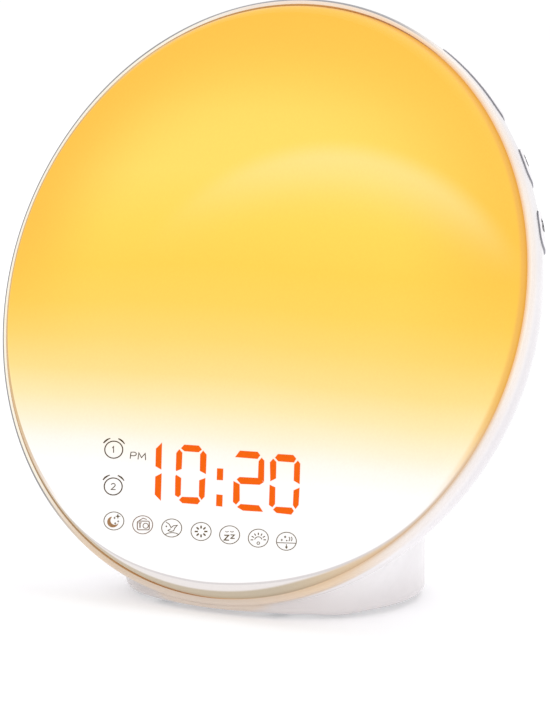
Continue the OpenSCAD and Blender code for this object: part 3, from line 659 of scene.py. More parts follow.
# ---------------------------------------------------------------- materials
def glow_material():
    """Opal diffuser lit from behind: amber above, fading to white over the display, with a painted reflection arc and
    painted shade on its shoulder and edge.
    """
    t = Tree("opal_lit")
    u, v, h = t.face()
    cloud = t.noise(14.0, 2.0, 0.5)
    wob = t.math("MULTIPLY_ADD", cloud, 5.0, -2.5)
    vv = t.math("ADD", v, wob)
    x = t.math("MULTIPLY_ADD", vv, 1 / 176.0, 0.5)
    s = lambda q: (q + 88.0) / 176.0
    stops = [(-88, (255, 254, 254)), (-52, (255, 253, 252)), (-46, (255, 249, 238)), (-41, (255, 242, 213)), (-33, (255, 232, 175)), (-25, (255, 222, 140)), (-15, (255, 215, 112)), (-5, (255, 211, 90)), (6, (255, 210, 80)), (18, (255, 215, 86)), (34, (255, 220, 100)), (52, (255, 218, 98)), (66, (255, 211, 88)), (80, (255, 200, 80))]
    base = t.ramp(x, [(s(q), lin(*c)) for q, c in stops])
    r = t.math("SQRT", t.math("ADD", t.math("MULTIPLY", u, u), t.math("MULTIPLY", v, v)))
    # deeper amber towards the rim, in the upper part
    edge = t.step(r, 46.0, 84.0)
    left = t.step(u, -70.0, 60.0, 1.0, 0.8)
    up = t.step(v, -30.0, 20.0)
    edge = t.math("MULTIPLY", t.math("MULTIPLY", edge, up), left)
    base = t.mix(edge, base, lin(255, 194, 70))
    # painted reflection: a faint paler arc, a studio light mirrored in the dome
    du = t.math("SUBTRACT", u, 24.9)
    dv = t.math("ADD", v, 30.5)
    d = t.math("SUBTRACT", t.math("SQRT", t.math("ADD", t.math("MULTIPLY", du, du), t.math("MULTIPLY", dv, dv))), 70.0)
    rise = t.step(d, 5.5, -1.5)
    fall = t.step(d, -30.0, 1.0)
    arc = t.math("MULTIPLY", rise, t.math("POWER", fall, 3.2))
    arc = t.math("MULTIPLY", arc, t.step(v, 6.0, 34.0))
    arc = t.math("MULTIPLY", arc, t.step(u, -34.0, 24.0, 0.1, 0.5))
    base = t.mix(arc, base, lin(255, 232, 160))
    # the shoulder, painted shade: a grey line at the crease, a pale grey crescent below it, then a tan band towards the
    # seam
    low = t.step(v, -20.0, -58.0)
    taper = t.math("ADD", t.step(u, 6.0, 66.0, 0.0, 3.4), t.step(u, -4.0, -54.0, 0.0, 2.0))
    q = t.math("SUBTRACT", r, taper)
    mark = t.math("MULTIPLY", t.step(q, 80.7, 81.0), t.step(q, 81.7, 81.3))
    base = t.mix(t.math("MULTIPLY", t.math("MULTIPLY", mark, low), 0.85), base, lin(208, 202, 202))
    shoulder_shade = t.math("MULTIPLY", t.step(q, 81.2, 81.7), low)
    base = t.mix(t.math("MULTIPLY", shoulder_shade, 0.95), base, lin(232, 226, 224))
    late = t.step(u, 26.0, 62.0, 0.0, 1.35)
    # painted shade: tan band on the steep lower part of the shoulder
    seam_shade = t.math("MULTIPLY", t.step(t.math("SUBTRACT", r, late), 82.7, 83.3), low)
    seam_shade_tan = t.mix(t.step(u, 20.0, 56.0), lin(191, 177, 154), lin(226, 198, 162))
    base = t.mix(t.math("MULTIPLY", seam_shade, 0.95), base, seam_shade_tan)
    # painted shade: tan on the upper shoulder, a brown ring on the left and tan on the edge wall, where the dome's edge
    # turns away
    early = t.step(u, 0.0, -60.0, 0.0, 1.9)
    warm = t.math("MULTIPLY", t.step(t.math("ADD", r, early), 83.3, 84.1), t.math("SUBTRACT", 1.0, low))
    warm = t.math("MULTIPLY", warm, t.step(u, 40.0, -20.0, 0.7, 1.0))
    base = t.mix(warm, base, t.mix(t.step(u, -20.0, 50.0), lin(222, 184, 118), lin(235, 177, 88)))
    ring = t.math("MULTIPLY", t.step(t.math("ADD", r, early), 83.2, 83.8), t.step(u, -46.0, -70.0))
    ring = t.math("MULTIPLY", ring, t.step(r, 83.9, 83.2, 0.15, 1.0))
    base = t.mix(t.math("MULTIPLY", ring, 0.75), base, lin(190, 148, 82))
    wall = t.step(h, -1.3, -2.2)
    base = t.mix(t.math("MULTIPLY", wall, 0.95), base, lin(226, 182, 126))
    grain = t.noise(1400.0, 3.0, 0.6)
    tone = t.step(grain, 0.2, 0.8, 0.985, 1.015)
    mul = t.node("ShaderNodeMix", data_type="RGBA", blend_type="MULTIPLY")
    mul.inputs[0].default_value = 1.0
    t.put(mul.inputs[6], base)
    comb = t.node("ShaderNodeCombineColor")
    for i in range(3):
        t.put(comb.inputs[i], tone)
    t.put(mul.inputs[7], comb.outputs[0])
    col = mul.outputs[2]
    albedo = t.mix(0.66, col, (0.0, 0.0, 0.0, 1.0))
    t.principled(albedo, t.step(grain, 0.2, 0.8, 0.34, 0.42), 0.0, t.bump(grain, 0.04, 0.00005), 0.2, emit=col, emit_strength=0.68)
    return t.mat


def housing_material():
    """Gloss white moulding, with painted light from the dome beside the rim, and painted shade under the bowl, on the
    lower flank, along the rim's outer edge, near the desk and in the seat of the diffuser.
    """
    t = Tree("white_gloss")
    u, v, h = t.face()
    drift = t.noise(26.0, 3.0, 0.5)
    grain = t.noise(2200.0, 3.0, 0.6)
    col = t.mix(t.step(drift, 0.3, 0.7), lin(239, 235, 237), lin(244, 241, 242))
    r = t.math("SQRT", t.math("ADD", t.math("MULTIPLY", u, u), t.math("MULTIPLY", v, v)))
    low = t.step(v, -52.0, -80.0)
    # warm light beside the rim, fading down the side
    out = t.step(r, 83.5, 85.2)
    near = t.math("MULTIPLY", t.step(h, -5.4, -0.6), out)
    warm = t.math("MULTIPLY", t.math("POWER", near, 2.5), t.step(u, -60.0, 30.0, 0.3, 0.62))
    warm = t.math("MULTIPLY", warm, t.step(r, 86.5, 85.3, 0.45, 1.0))
    tint = t.mix(t.step(v, -10.0, -44.0), lin(252, 224, 186), lin(230, 214, 200))
    tint = t.mix(t.step(u, 0.0, -50.0), tint, lin(255, 252, 238))
    col = t.mix(warm, col, tint)
    # painted light from the dome: pale cream on the rim's inner face, left and above
    face = t.math("MULTIPLY", t.step(h, -2.0, -0.5), t.math("MULTIPLY", t.step(r, 84.9, 85.0), t.step(u, -10.0, -50.0)))
    col = t.mix(t.math("MULTIPLY", face, t.math("SUBTRACT", 1.0, low)), col, lin(255, 250, 234))
    # painted light from the dome: orange on the inner lip, on the right
    inner = t.math("MULTIPLY", t.step(r, 85.7, 85.0), t.step(h, -4.4, -3.9))
    inner = t.math("MULTIPLY", inner, t.step(u, 10.0, 50.0))
    col = t.mix(t.math("MULTIPLY", inner, 0.6), col, t.mix(t.step(v, -10.0, -44.0), lin(240, 186, 120), lin(214, 182, 146)))
    # painted shade warmed by the dome's glow: tan on the lower lip
    lip = t.math("MULTIPLY", t.step(h, -3.4, -1.6), out)
    lower = t.math("MULTIPLY", t.math("MULTIPLY", lip, low), t.step(u, 66.0, 40.0, 0.2, 0.85))
    col = t.mix(lower, col, lin(226, 196, 158))
    # painted shade underneath: greyer where the bowl hangs over the foot
    overhang_shade = t.math("MULTIPLY", t.step(v, -66.0, -84.0), t.step(h, -34.0, -3.0))
    overhang_shade = t.math("MULTIPLY", overhang_shade, t.step(u, 40.0, -6.0, 0.0, 1.0))
    overhang_shade = t.math("MULTIPLY", overhang_shade, t.math("SUBTRACT", 1.0, t.math("MULTIPLY", lip, 0.7)))
    col = t.mix(t.math("MULTIPLY", overhang_shade, 0.8), col, lin(196, 188, 185))
    # painted shade: greyer on the lower flank
    flank_shade = t.math("MULTIPLY", t.step(u, 44.0, 78.0), t.step(v, 36.0, -14.0))
    flank_shade = t.math("MULTIPLY", flank_shade, t.step(near, 0.9, 0.1))
    col = t.mix(t.math("MULTIPLY", flank_shade, 0.6), col, lin(222, 217, 220))
    # painted shade: a fine grey outline along the rim's rounded outer edge, left and above
    side = t.step(u, -16.0, -52.0)
    rim_edge_shade = t.math("MULTIPLY", t.step(t.math("MULTIPLY_ADD", side, 0.18, r), 85.85, 86.0), t.step(h, -0.72, -0.5))
    rim_edge_shade = t.math("MULTIPLY", rim_edge_shade, t.math("MULTIPLY", t.step(u, 52.0, 28.0), t.step(v, -78.0, -58.0)))
    col = t.mix(t.math("MULTIPLY", rim_edge_shade, 0.95), col, t.mix(side, lin(150, 150, 154), lin(122, 122, 126)))
    # shade close to the desk
    desk = t.step(t.vec("DOT_PRODUCT", t.pos, (0.0, 0.0, 1000.0)), 13.0, 1.5)
    col = t.mix(t.math("MULTIPLY", desk, 0.5), col, lin(206, 198, 196))
    # deep shade in the seat of the diffuser
    seat = t.math("MULTIPLY", t.step(r, 84.97, 84.88), t.step(h, 0.5, -0.2))
    seat = t.math("MULTIPLY", seat, t.step(h, -4.4, -4.0))
    col = t.mix(t.math("MULTIPLY", seat, 0.9), col, lin(220, 186, 144))
    t.principled(col, t.step(grain, 0.25, 0.75, 0.16, 0.24), 0.0, t.bump(t.noise(90.0, 2.0, 0.5), 0.012, 0.0003), 0.5, coat=0.25)
    return t.mat


def board_material(name, ground, trace):
    t = Tree(name)
    br = t.node("ShaderNodeTexBrick")
    t.put(br.inputs["Vector"], t.vec("MULTIPLY", t.pos, (1.0, 0.7, 1.0)))
    br.inputs["Scale"].default_value = 260.0
    br.inputs["Mortar Size"].default_value = 0.012
    br.inputs["Color1"].default_value = ground
    br.inputs["Color2"].default_value = tuple(c * 0.88 for c in ground[:3]) + (1.0,)
    br.inputs["Mortar"].default_value = trace
    grain = t.noise(700.0, 4.0, 0.6)
    col = t.mix(t.step(grain, 0.3, 0.8, 0.0, 0.25), br.outputs["Color"], tuple(c * 0.7 for c in ground[:3]) + (1.0,))
    t.principled(col, t.step(grain, 0.3, 0.7, 0.28, 0.45), 0.0, t.bump(br.outputs["Fac"], 0.15, 0.00005), 0.5)
    return t.mat


def woven(name, color):
    t = Tree(name)
    fac = []
    for d in ("X", "Z"):
        w = t.node("ShaderNodeTexWave", wave_type="BANDS", bands_direction=d)
        t.put(w.inputs["Vector"], t.pos)
        w.inputs["Scale"].default_value = 420.0
        w.inputs["Distortion"].default_value = 0.4
        fac.append(w.outputs["Fac"])
    weave = t.math("MULTIPLY", fac[0], fac[1])
    col = t.mix(weave, tuple(c * 0.5 for c in color[:3]) + (1.0,), tuple(min(1, c * 2.2) for c in color[:3]) + (1.0,))
    t.principled(col, t.step(weave, 0.0, 1.0, 0.95, 0.7), 0.0, t.bump(weave, 0.6, 0.0001), 0.2)
    return t.mat


def wound(name, color):
    t = Tree(name)
    q = t.vec("DOT_PRODUCT", t.pos, (0.0, -1000.0 * CT, 1000.0 * ST))
    s = t.math("SINE", t.math("MULTIPLY", q, 40.0))
    n = t.noise(900.0)
    col = t.mix(t.step(s, -1.0, 1.0), tuple(c * 0.55 for c in color[:3]) + (1.0,), color)
    t.principled(col, t.step(n, 0.2, 0.8, 0.25, 0.4), 0.9, t.bump(s, 0.5, 0.0001), 0.5)
    return t.mat


def ink(name, color, rough=0.5, emit=None, strength=0.0, spec=0.1):
    t = Tree(name)
    n = t.noise(1800.0, 3.0, 0.6)
    a = tuple(c * 0.9 for c in color[:3]) + (1.0,)
    b = tuple(min(1.0, c * 1.1) for c in color[:3]) + (1.0,)
    f = t.step(n, 0.25, 0.75)
    col = t.mix(f, a, b)
    if emit:
        e = t.mix(f, tuple(c * 0.94 for c in emit[:3]) + (1.0,), emit)
        t.principled(col, t.step(n, 0.2, 0.8, rough - 0.05, rough + 0.05), 0.0, t.bump(n, 0.03, 0.00003), spec, emit=e, emit_strength=strength)
    else:
        t.principled(col, t.step(n, 0.2, 0.8, rough - 0.05, rough + 0.05), 0.0, t.bump(n, 0.03, 0.00003), spec)
    return t.mat


HOUSE = housing_material()
GAP = plain("gap_shade", lin(120, 120, 126), 0.6, tone=0.04, fine=2200, bump=0.02, spec=0.1)
# painted shade: grey on the keys' side walls where they stand proud of the bowl
KEY_SIDE_SHADE = plain("key_side_shade", lin(164, 164, 170), 0.4, tone=0.03, fine=2200, bump=0.02, spec=0.2)
KEYMAT = plain("key_gloss", lin(252, 250, 252), 0.2, tone=0.015, tone_scale=60, fine=2200, bump=0.02, coat=0.25)
GLOW = glow_material()
MATS = {
    "housing": HOUSE,
    "diffuser": GLOW,
    "key": KEYMAT,
    "white_inner": plain("white_inner", lin(238, 238, 236), 0.55, tone=0.02, fine=1500),
    "lamp_board": board_material("lamp_board", lin(240, 242, 238), lin(206, 212, 204)),
    "white_led": plain("white_led", lin(250, 226, 130), 0.3, tone=0.08, tone_scale=300),
    "rgb_led": plain("rgb_led", lin(244, 244, 242), 0.25, tone=0.05, tone_scale=300),
    "display_glow": plain("display_glow", lin(246, 120, 40), 0.35, tone=0.05, tone_scale=200),
    "display_clear": plain("display_clear", lin(236, 228, 214), 0.3, tone=0.03, tone_scale=200),
    "film": plain("film", lin(246, 244, 238), 0.5, tone=0.015, fine=2500),
    "board": board_material("board_green", lin(22, 98, 62), lin(62, 150, 96)),
    "chip": plain("chip", lin(28, 28, 30), 0.45, tone=0.15, tone_scale=400, fine=3000, bump=0.15),
    "shield": plain("shield", lin(176, 178, 180), 0.3, 1.0, tone=0.05, stretch=(1.0, 1.0, 9.0)),
    "capacitor": plain("capacitor", lin(34, 48, 108), 0.25, tone=0.06),
    "socket": plain("socket", lin(232, 228, 214), 0.45, tone=0.03),
    "ribbon": plain("ribbon", lin(150, 150, 156), 0.4, tone=0.12, tone_scale=900, stretch=(6.0, 0.2, 0.2)),
    "frame_steel": plain("frame_steel", lin(84, 86, 90), 0.4, 0.8, tone=0.08, stretch=(1, 4, 1)),
    "magnet": plain("magnet", lin(40, 40, 43), 0.6, 0.3, tone=0.2, tone_scale=300, fine=2000, bump=0.25),
    "cone_paper": plain("cone_paper", lin(34, 34, 36), 0.85, tone=0.25, tone_scale=700, fine=2600, bump=0.4),
    "foam": plain("foam", lin(38, 38, 38), 0.9, tone=0.2, tone_scale=900, fine=3000, bump=0.5),
    "mesh": woven("cloth_mesh", lin(26, 26, 28)),
    "copper": wound("copper_winding", lin(196, 116, 60)),
    "red_lead": plain("red_lead", lin(186, 30, 28), 0.35, tone=0.06),
    "white_lead": plain("white_lead", lin(228, 228, 226), 0.35, tone=0.04),
    "plunger": plain("plunger", lin(30, 30, 32), 0.4, tone=0.1),
    "switch": plain("switch", lin(50, 50, 53), 0.4, tone=0.12, tone_scale=500),
    "cover": plain("cover", lin(240, 238, 238), 0.5, tone=0.015, fine=3200, bump=0.2),
    "cell": plain("cell", lin(196, 197, 200), 0.25, 1.0, tone=0.05, stretch=(1, 8, 1)),
    "contact": plain("contact", lin(214, 184, 112), 0.3, 1.0, tone=0.06),
    "foot_rubber": plain("foot_rubber", lin(128, 128, 130), 0.8, tone=0.08, fine=2600, bump=0.3),
    "jack": plain("jack_black", lin(26, 26, 27), 0.4, tone=0.12, fine=2600, bump=0.15),
    "pin": plain("pin_nickel", lin(214, 214, 216), 0.15, 1.0, tone=0.03),
    "grommet": plain("grommet_rubber", lin(34, 34, 35), 0.75, tone=0.12, fine=2600, bump=0.3),
    "screw": plain("screw_zinc", lin(190, 192, 196), 0.28, 1.0, tone=0.05, tone_scale=300, stretch=(1, 1, 6)),
}
SLOT_OF = {s["node"]: s["material_slot"] for s in frame["record"]["subparts"]}
for name, o in NODES.items():
    o.data.materials.clear()
    o.data.materials.append(MATS[SLOT_OF[name]])


# ---------------------------------------------------------------- the shell
shell = housing()
exact_normals(shell, outer_f, 0.004)
shell.name = "rear_shell"
link(shell, "rear_shell", None, ROOT, ["rear_housing"])

# ---------------------------------------------------------------- the diffuser
DOME_RISE, DOME_E, EDGE_R = 9.0, 4.9, 84.6
DOME_R = (81.0**2 + DOME_E**2) / (2 * DOME_E)
SH_R = 6.8
SH_C = EDGE_R - SH_R


def dome_profile(inset, bottom, rows, arc):
    """Points of the diffuser's half section from the axis out to the edge and down to bottom."""
    ra, rb = DOME_R - inset, SH_R - inset
    za, zb = DOME_RISE - DOME_R, -1.8
    dist = math.hypot(SH_C, zb - za)
    m = (ra * ra - rb * rb + dist * dist) / (2 * dist)
    k = math.sqrt(ra * ra - m * m)
    px = m * SH_C / dist + k * (zb - za) / dist
    pz = za + m * (zb - za) / dist - k * SH_C / dist
    a1, b1 = math.atan2(pz - za, px), math.atan2(pz - zb, px - SH_C)
    pts = [(0.0 if i == 0 else ra * math.cos(q), za + ra * math.sin(q)) for i in range(rows + 1) for q in [math.pi / 2 + (a1 - math.pi / 2) * i / rows]]
    pts += [(SH_C + rb * math.cos(q), zb + rb * math.sin(q)) for i in range(1, arc + 1) for q in [b1 * (1 - i / arc)]]
    return pts + [(EDGE_R - inset, bottom)]


def dome_h(r):
    """Height of the dome's outer surface above the rim plane."""
    r = np.asarray(r, float)
    cap = DOME_RISE - DOME_R + np.sqrt(DOME_R**2 - r**2)
    sh = -1.8 + np.sqrt(np.maximum(SH_R**2 - np.clip(r - SH_C, 0, SH_R) ** 2, 0))
    return np.where(r > SH_C, np.minimum(cap, sh), cap)


outer_p = dome_profile(0.0, -2.95, 40, 12)
inner_p = dome_profile(2.0, -2.95, 24, 8)
diffuser = smooth(lathe("front_dome", outer_p + inner_p[::-1], at_face(), 288), 24.0)
link(diffuser, "front_dome", GLOW, ROOT, ["front_diffuser"])

# ---------------------------------------------------------------- keys
RIN = 2.2


def bowl_radius(z, off):
    return C1X + np.sqrt((SR + off) ** 2 - (z - ZS) ** 2)


def key_piece(i, s):
    hw, t0 = KEY_H[i], KEY_T[i]
    per = 8
    base_o = subdivided(round_rect(hw, KEY_Z0, KEY_Z1, KEY_R, 0.0, per), 0.8)

    def outline(grow, lowz=None, highz=None):
        """Outlines with the same number of points, so that rings can be joined."""
        z0 = KEY_Z0 - (grow if lowz is None else lowz)
        z1 = KEY_Z1 + (grow if highz is None else highz)
        cx, cz = 0.0, (KEY_Z0 + KEY_Z1) / 2
        h0, w0 = (KEY_Z1 - KEY_Z0) / 2, hw
        p = base_o.copy()
        # shift each point outward from the straight core of the outline
        core = np.c_[np.clip(p[:, 0], -(w0 - KEY_R), w0 - KEY_R), np.clip(p[:, 1], KEY_Z0 + KEY_R, KEY_Z1 - KEY_R)]
        d = p - core
        d /= np.linalg.norm(d, axis=1)[:, None]
        q = core + d * (KEY_R + grow)
        q[:, 1] = np.clip(q[:, 1], z0, z1)
        return q

    def level(o, off):
        z = o[:, 1]
        t = o[:, 0] + t0
        return np.sqrt(bowl_radius(z, off) ** 2 - t**2)

    place = side(s)

    def ring(o, off=None, sval=None):
        q = level(o, off) if sval is None else sval
        return place(np.stack([q, o[:, 0] + t0, o[:, 1]], -1))

    rings = []
    cz = (KEY_Z0 + KEY_Z1) / 2
    e = 0.4
    inner_o = outline(-e)
    for lam in (0.25, 0.5, 0.75, 0.92):
        o = np.array([0.0, cz]) + (inner_o - np.array([0.0, cz])) * lam
        rings.append(ring(o, 0.8))
    for a in np.radians(np.linspace(0, 90, 6)):
        o = outline(-e + e * math.sin(a))
        rings.append(place(np.stack([level(o, 0.8) - e * (1 - math.cos(a)), o[:, 0] + t0, o[:, 1]], -1)))
    o = outline(0.0)
    for off in (0.0, -0.6, -RIN - 0.4):
        rings.append(ring(o, off))
    fl = outline(1.2, 0.3, 1.0)
    rings.append(ring(fl, -RIN - 0.4))
    rings.append(ring(fl, -RIN - 1.6))
    for lam in (0.6, 0.3):
        q = np.array([0.0, cz]) + (fl - np.array([0.0, cz])) * lam
        rings.append(ring(q, -RIN - 1.6))
    c = np.array([[0.0, cz]])
    top = place(np.array([float(level(c, 0.8)[0]), t0, cz]))
    bot = place(np.array([float(level(c, -RIN - 1.6)[0]), t0, cz]))
    me = ring_mesh("key", rings, top, bot)
    stem = joined("stem", [rod(place([72.35, t0, SWITCH_Z]), place([float(level(np.array([[0.0, SWITCH_Z]]), -RIN - 1.0)[0]), t0, SWITCH_Z]), 1.5, 32)])
    me = boolean(me, stem, "UNION")
    return smooth(me, 40.0)


def shade_gap(me, mats, pick):
    """Gives each polygon the material index that pick returns for the centres and normals."""
    me.materials.clear()
    for m in mats:
        me.materials.append(m)
    n = len(me.polygons)
    c = np.zeros(n * 3)
    me.polygons.foreach_get("center", c)
    nr = np.zeros(n * 3)
    me.polygons.foreach_get("normal", nr)
    idx = pick(c.reshape(-1, 3) * 1000.0 - np.array([0.0, YD, 0.0]), nr.reshape(-1, 3))
    me.polygons.foreach_set("material_index", idx.astype(np.int32))
    me.update()


def across(s, nr):
    """How far each normal points along the press axis of side s."""
    axis = side(s)([1.0, 0.0, 0.0]) - side(s)([0.0, 0.0, 0.0])
    return nr @ axis


def housing_pick(c, nr):
    idx = np.zeros(len(c), int)
    u, v, h = to_face(c)
    f = f_bowl(c, 0.0)
    for s in (-1, 1):
        ss = u * s * math.cos(KEY_DIR) + v * math.sin(KEY_DIR)
        t = -u * s * math.sin(KEY_DIR) + v * math.cos(KEY_DIR)
        for t0, w in zip(KEY_T, KEY_H):
            near = (ss > 55) & (np.abs(t - t0) < w + 0.4) & (h > KEY_Z0 - 0.4) & (h < KEY_Z1 + 0.4)
            idx[near & (np.abs(across(s, nr)) < 0.25) & (f < -0.1)] = 1
    return idx


def key_pick(s):
    def pick(c, nr):
        f = f_bowl(c, 0.0)
        wall = np.abs(across(s, nr)) < 0.3
        # painted shade on the key walls: darker down in the gap, lighter grey on the part standing proud
        return np.where(wall & (f < 0.02), 1, np.where(wall & (f < 0.39), 2, 0))

    return pick


for s, word in ((1, "right"), (-1, "left")):
    for i, kind in enumerate(("long", "upper", "lower")):
        me = key_piece(i, s)
        o = link(me, f"{word}_{kind}_cap", None, f"{word}_{kind}", [f"{word}_{kind}_key"])
        shade_gap(me, [KEYMAT, GAP, KEY_SIDE_SHADE], key_pick(s))
shade_gap(shell, [HOUSE, GAP], housing_pick)


# ---------------------------------------------------------------- smaller outside pieces
def merge(name, meshes):
    bm = bmesh.new()
    for m in meshes:
        bm.from_mesh(m)
    me = bpy.data.meshes.new(name)
    bm.to_mesh(me)
    bm.free()
    return me


PADS = [(-27, -2.5), (27, -2.5), (-22, 34), (22, 34)]
foot = [(0, 0), (4.3, 0), (4.55, 0.06), (4.75, 0.2), (5.1, 0.5), (5.24, 0.62), (5.3, 0.8), (5.3, PAD), (0, PAD)]
me = smooth(merge("pads", [lathe("pad", foot, at_base(x, y), 64) for x, y in PADS]), 28.0)
link(me, "desk_pads", MATS["foot_rubber"], ROOT, ["rubber_feet"])

jack = [(0, -13.5), (3.4, -13.5), (3.4, -12), (3.9, -12), (3.9, 0), (5.2, 0), (5.2, 0.6), (5.14, 0.76), (5.0, 0.87), (4.8, 0.9), (3.1, 0.9), (2.9, 0.85), (2.8, 0.72), (2.8, -9.5), (0, -9.5)]
link(smooth(lathe("jack", jack, at_rear(-13, PANEL, 17), 96), 28.0), "power_inlet", MATS["jack"], ROOT, ["dc_jack"])
eye = [(1, -3.4), (4, -3.4), (4, -2.2), (2.95, -2.2), (2.95, 0), (4.2, 0), (4.2, 0.55), (4.12, 0.78), (3.9, 0.94), (3.6, 1.0), (1.5, 1.0), (1.2, 0.93), (1.05, 0.8), (1, 0.6)]
link(smooth(ring_solid("eye", eye, at_rear(13, PANEL, 17), 80), 28.0), "antenna_eye", MATS["grommet"], ROOT, ["antenna_grommet"])

head = [(0, 1.7), (1.95, 1.7), (2.2, 1.76), (2.34, 1.88), (2.4, 2.05), (2.4, 2.4), (1.2, 2.4), (1.2, 9.3), (0.95, 9.7), (0, 9.7)]
screws = []
for x, y in BASE_BOSS:
    cross = joined("cross", [prism(round_rect(1.5, -0.25, 0.25, 0.1), at_base(x, y), 1.6, 2.1)])
    bar = joined("bar", [prism(round_rect(0.25, -1.5, 1.5, 0.1), at_base(x, y), 1.6, 2.1)])
    screws.append(boolean(lathe("screw", head, at_base(x, y), 56), boolean(cross, bar, "UNION"), "DIFFERENCE"))
link(smooth(merge("screws", screws), 28.0), "cover_screws", MATS["screw"], ROOT, ["base_screws"])

DOOR_Y = 13.5


def tab_cut(name, r, turn, w, z0, z1, inner=8.0):
    parts = []
    for b in (0, 180):
        a0 = math.asin(w / 2 / r)
        o = [(inner, -w / 2)] + [(r * math.cos(q), r * math.sin(q)) for q in np.linspace(-a0, a0, 9)] + [(inner, w / 2)]
        c, d = math.cos(math.radians(turn + b)), math.sin(math.radians(turn + b))
        parts.append(prism([(x * c - y * d, x * d + y * c) for x, y in o], at_base(0, DOOR_Y), z0, z1))
    return joined(name, parts)


disc = [(0, 1.6), (12.45, 1.6), (12.72, 1.65), (12.92, 1.78), (13, 2.0), (13, 3.5), (12.3, 3.5), (12.3, 4.85), (12.15, 5.0), (0, 5.0)]
door = lathe("door", disc, at_base(0, DOOR_Y), 128)
door = boolean(door, tab_cut("tabs", 14.6, 0, 6, 3.9, 5.0), "UNION")
door = boolean(door, joined("slot", [prism(round_rect(8, -0.8, 0.8, 0.7), at_base(0, DOOR_Y), 1.2, 2.8)]), "DIFFERENCE")
link(smooth(door, 28.0), "cell_door_plate", MATS["cover"], "cell_door", ["battery_door"])


def cover_outline(inset, z):
    """Edge of the bottom cover at a height, seen from a point inside."""
    n = 288
    th = 2 * math.pi * np.arange(n) / n
    d = np.stack([np.cos(th), np.sin(th)], -1)
    c = np.array([0.0, 12.0])
    lo, hi = np.zeros(n), np.full(n, 80.0)
    for _ in range(40):
        m = (lo + hi) / 2
        q = c + m[:, None] * d
        x, y = q[:, 0], q[:, 1]
        hh = -y * CT + (z - FH) * ST
        f = smax(np.hypot(x, y - FOOT_Y) - (FOOT_R - inset), np.hypot(x, y - FRONT_Y) - (FRONT_R - inset), 2.0)
        f = smax(f, y - (PANEL - inset), 1.5)
        f = smax(f, hh + 6.4 + (inset - 2.5), 0.3)
        lo, hi = np.where(f < 0, m, lo), np.where(f < 0, hi, m)
    return np.c_[c + ((lo + hi) / 2)[:, None] * d, np.full(n, z)]


rings = [cover_outline(2.5 + 0.35 * (1 - math.sin(a)), PAD + 0.35 * (1 - math.cos(a))) for a in np.radians(np.linspace(0, 90, 6))]
rings.append(cover_outline(2.5, 3.5))
cover = ring_mesh("cover", rings)
tray = joined("tray", [rod([0, DOOR_Y, 2.5], [0, DOOR_Y, 10.3], 17.0, 128)])
cover = boolean(cover, tray, "UNION")
hole = [(0, 0.5), (13.55, 0.5), (13.55, PAD - 0.01), (13.36, PAD + 0.12), (13.3, PAD + 0.3), (13.3, 3.5), (15.2, 3.5), (15.2, 5.3), (10.3, 5.3), (10.3, 8.8), (0, 8.8)]
cover = boolean(cover, lathe("hole", hole, at_base(0, DOOR_Y), 128), "DIFFERENCE")
cover = boolean(cover, tab_cut("notch", 14.9, 60, 7, 0.5, 4.5), "DIFFERENCE")
sink = [(0, 0.5), (2.95, 0.5), (2.95, PAD - 0.01), (2.78, PAD + 0.1), (2.7, PAD + 0.25), (2.7, 2.4), (1.5, 2.4), (1.5, 6.5), (0, 6.5)]
cover = boolean(cover, merge("sinks", [lathe("sink", sink, at_base(x, y), 48) for x, y in BASE_BOSS]), "DIFFERENCE")
link(smooth(cover, 28.0), "base_plate", MATS["cover"], ROOT, ["bottom_cover"])


# ---------------------------------------------------------------- printed and lit art on the dome
def art_uv(q):
    """Drawing units of the display (x right, y down) to face mm."""
    q = np.asarray(q, float)
    x = (98.0 + q[..., 0] / 6.0 - 205.0) / 100.0
    y = (428.0 + q[..., 1] / 6.0 - 493.0) / 60.0
    u = -1.4443 + 32.8049 * x + 2.1501 * y - 1.2451 * x * x - 0.1521 * x * y - 0.1395 * y * y
    v = -56.7524 + 2.8973 * x - 16.3901 * y + 0.0076 * x * x + 0.3543 * x * y + 0.0594 * y * y
    return u, v


def on_dome(q, lift):
    u, v = art_uv(q)
    return tilted(np.stack([u, v, dome_h(np.hypot(u, v)) + lift], -1))


def plate(outline, place, thick):
    """Verts and faces of a thin plate: place(q, lift) puts a point at a height above the surface."""
    o = np.asarray(outline, float)
    n = len(o)
    lo, hi = place(o, thick[0]), place(o, thick[1])
    f = [(k, (k + 1) % n, n + (k + 1) % n, n + k) for k in range(n)]
    f += [tuple(range(n - 1, -1, -1)), tuple(range(n, 2 * n))]
    return np.concatenate([lo, hi]), f


def ribbon(path, width, closed=False):
    """Quads along a path, as separate outlines that share their mitred ends."""
    p = np.asarray(path, float)
    n = len(p)
    nxt = np.roll(p, -1, 0) - p
    prv = p - np.roll(p, 1, 0)
    if not closed:
        nxt[-1] = prv[-1]
        prv[0] = nxt[0]
    a = nxt / np.linalg.norm(nxt, axis=1)[:, None]
    b = prv / np.linalg.norm(prv, axis=1)[:, None]
    m = a + b
    m /= np.maximum(np.linalg.norm(m, axis=1), 1e-6)[:, None]
    nrm = np.stack([-m[:, 1], m[:, 0]], -1)
    cosv = np.clip((nrm * np.stack([-a[:, 1], a[:, 0]], -1)).sum(1), 0.4, 1)
    w = np.broadcast_to(np.asarray(width, float) / 2, (n,)) / cosv
    return p + nrm * w[:, None], p - nrm * w[:, None]


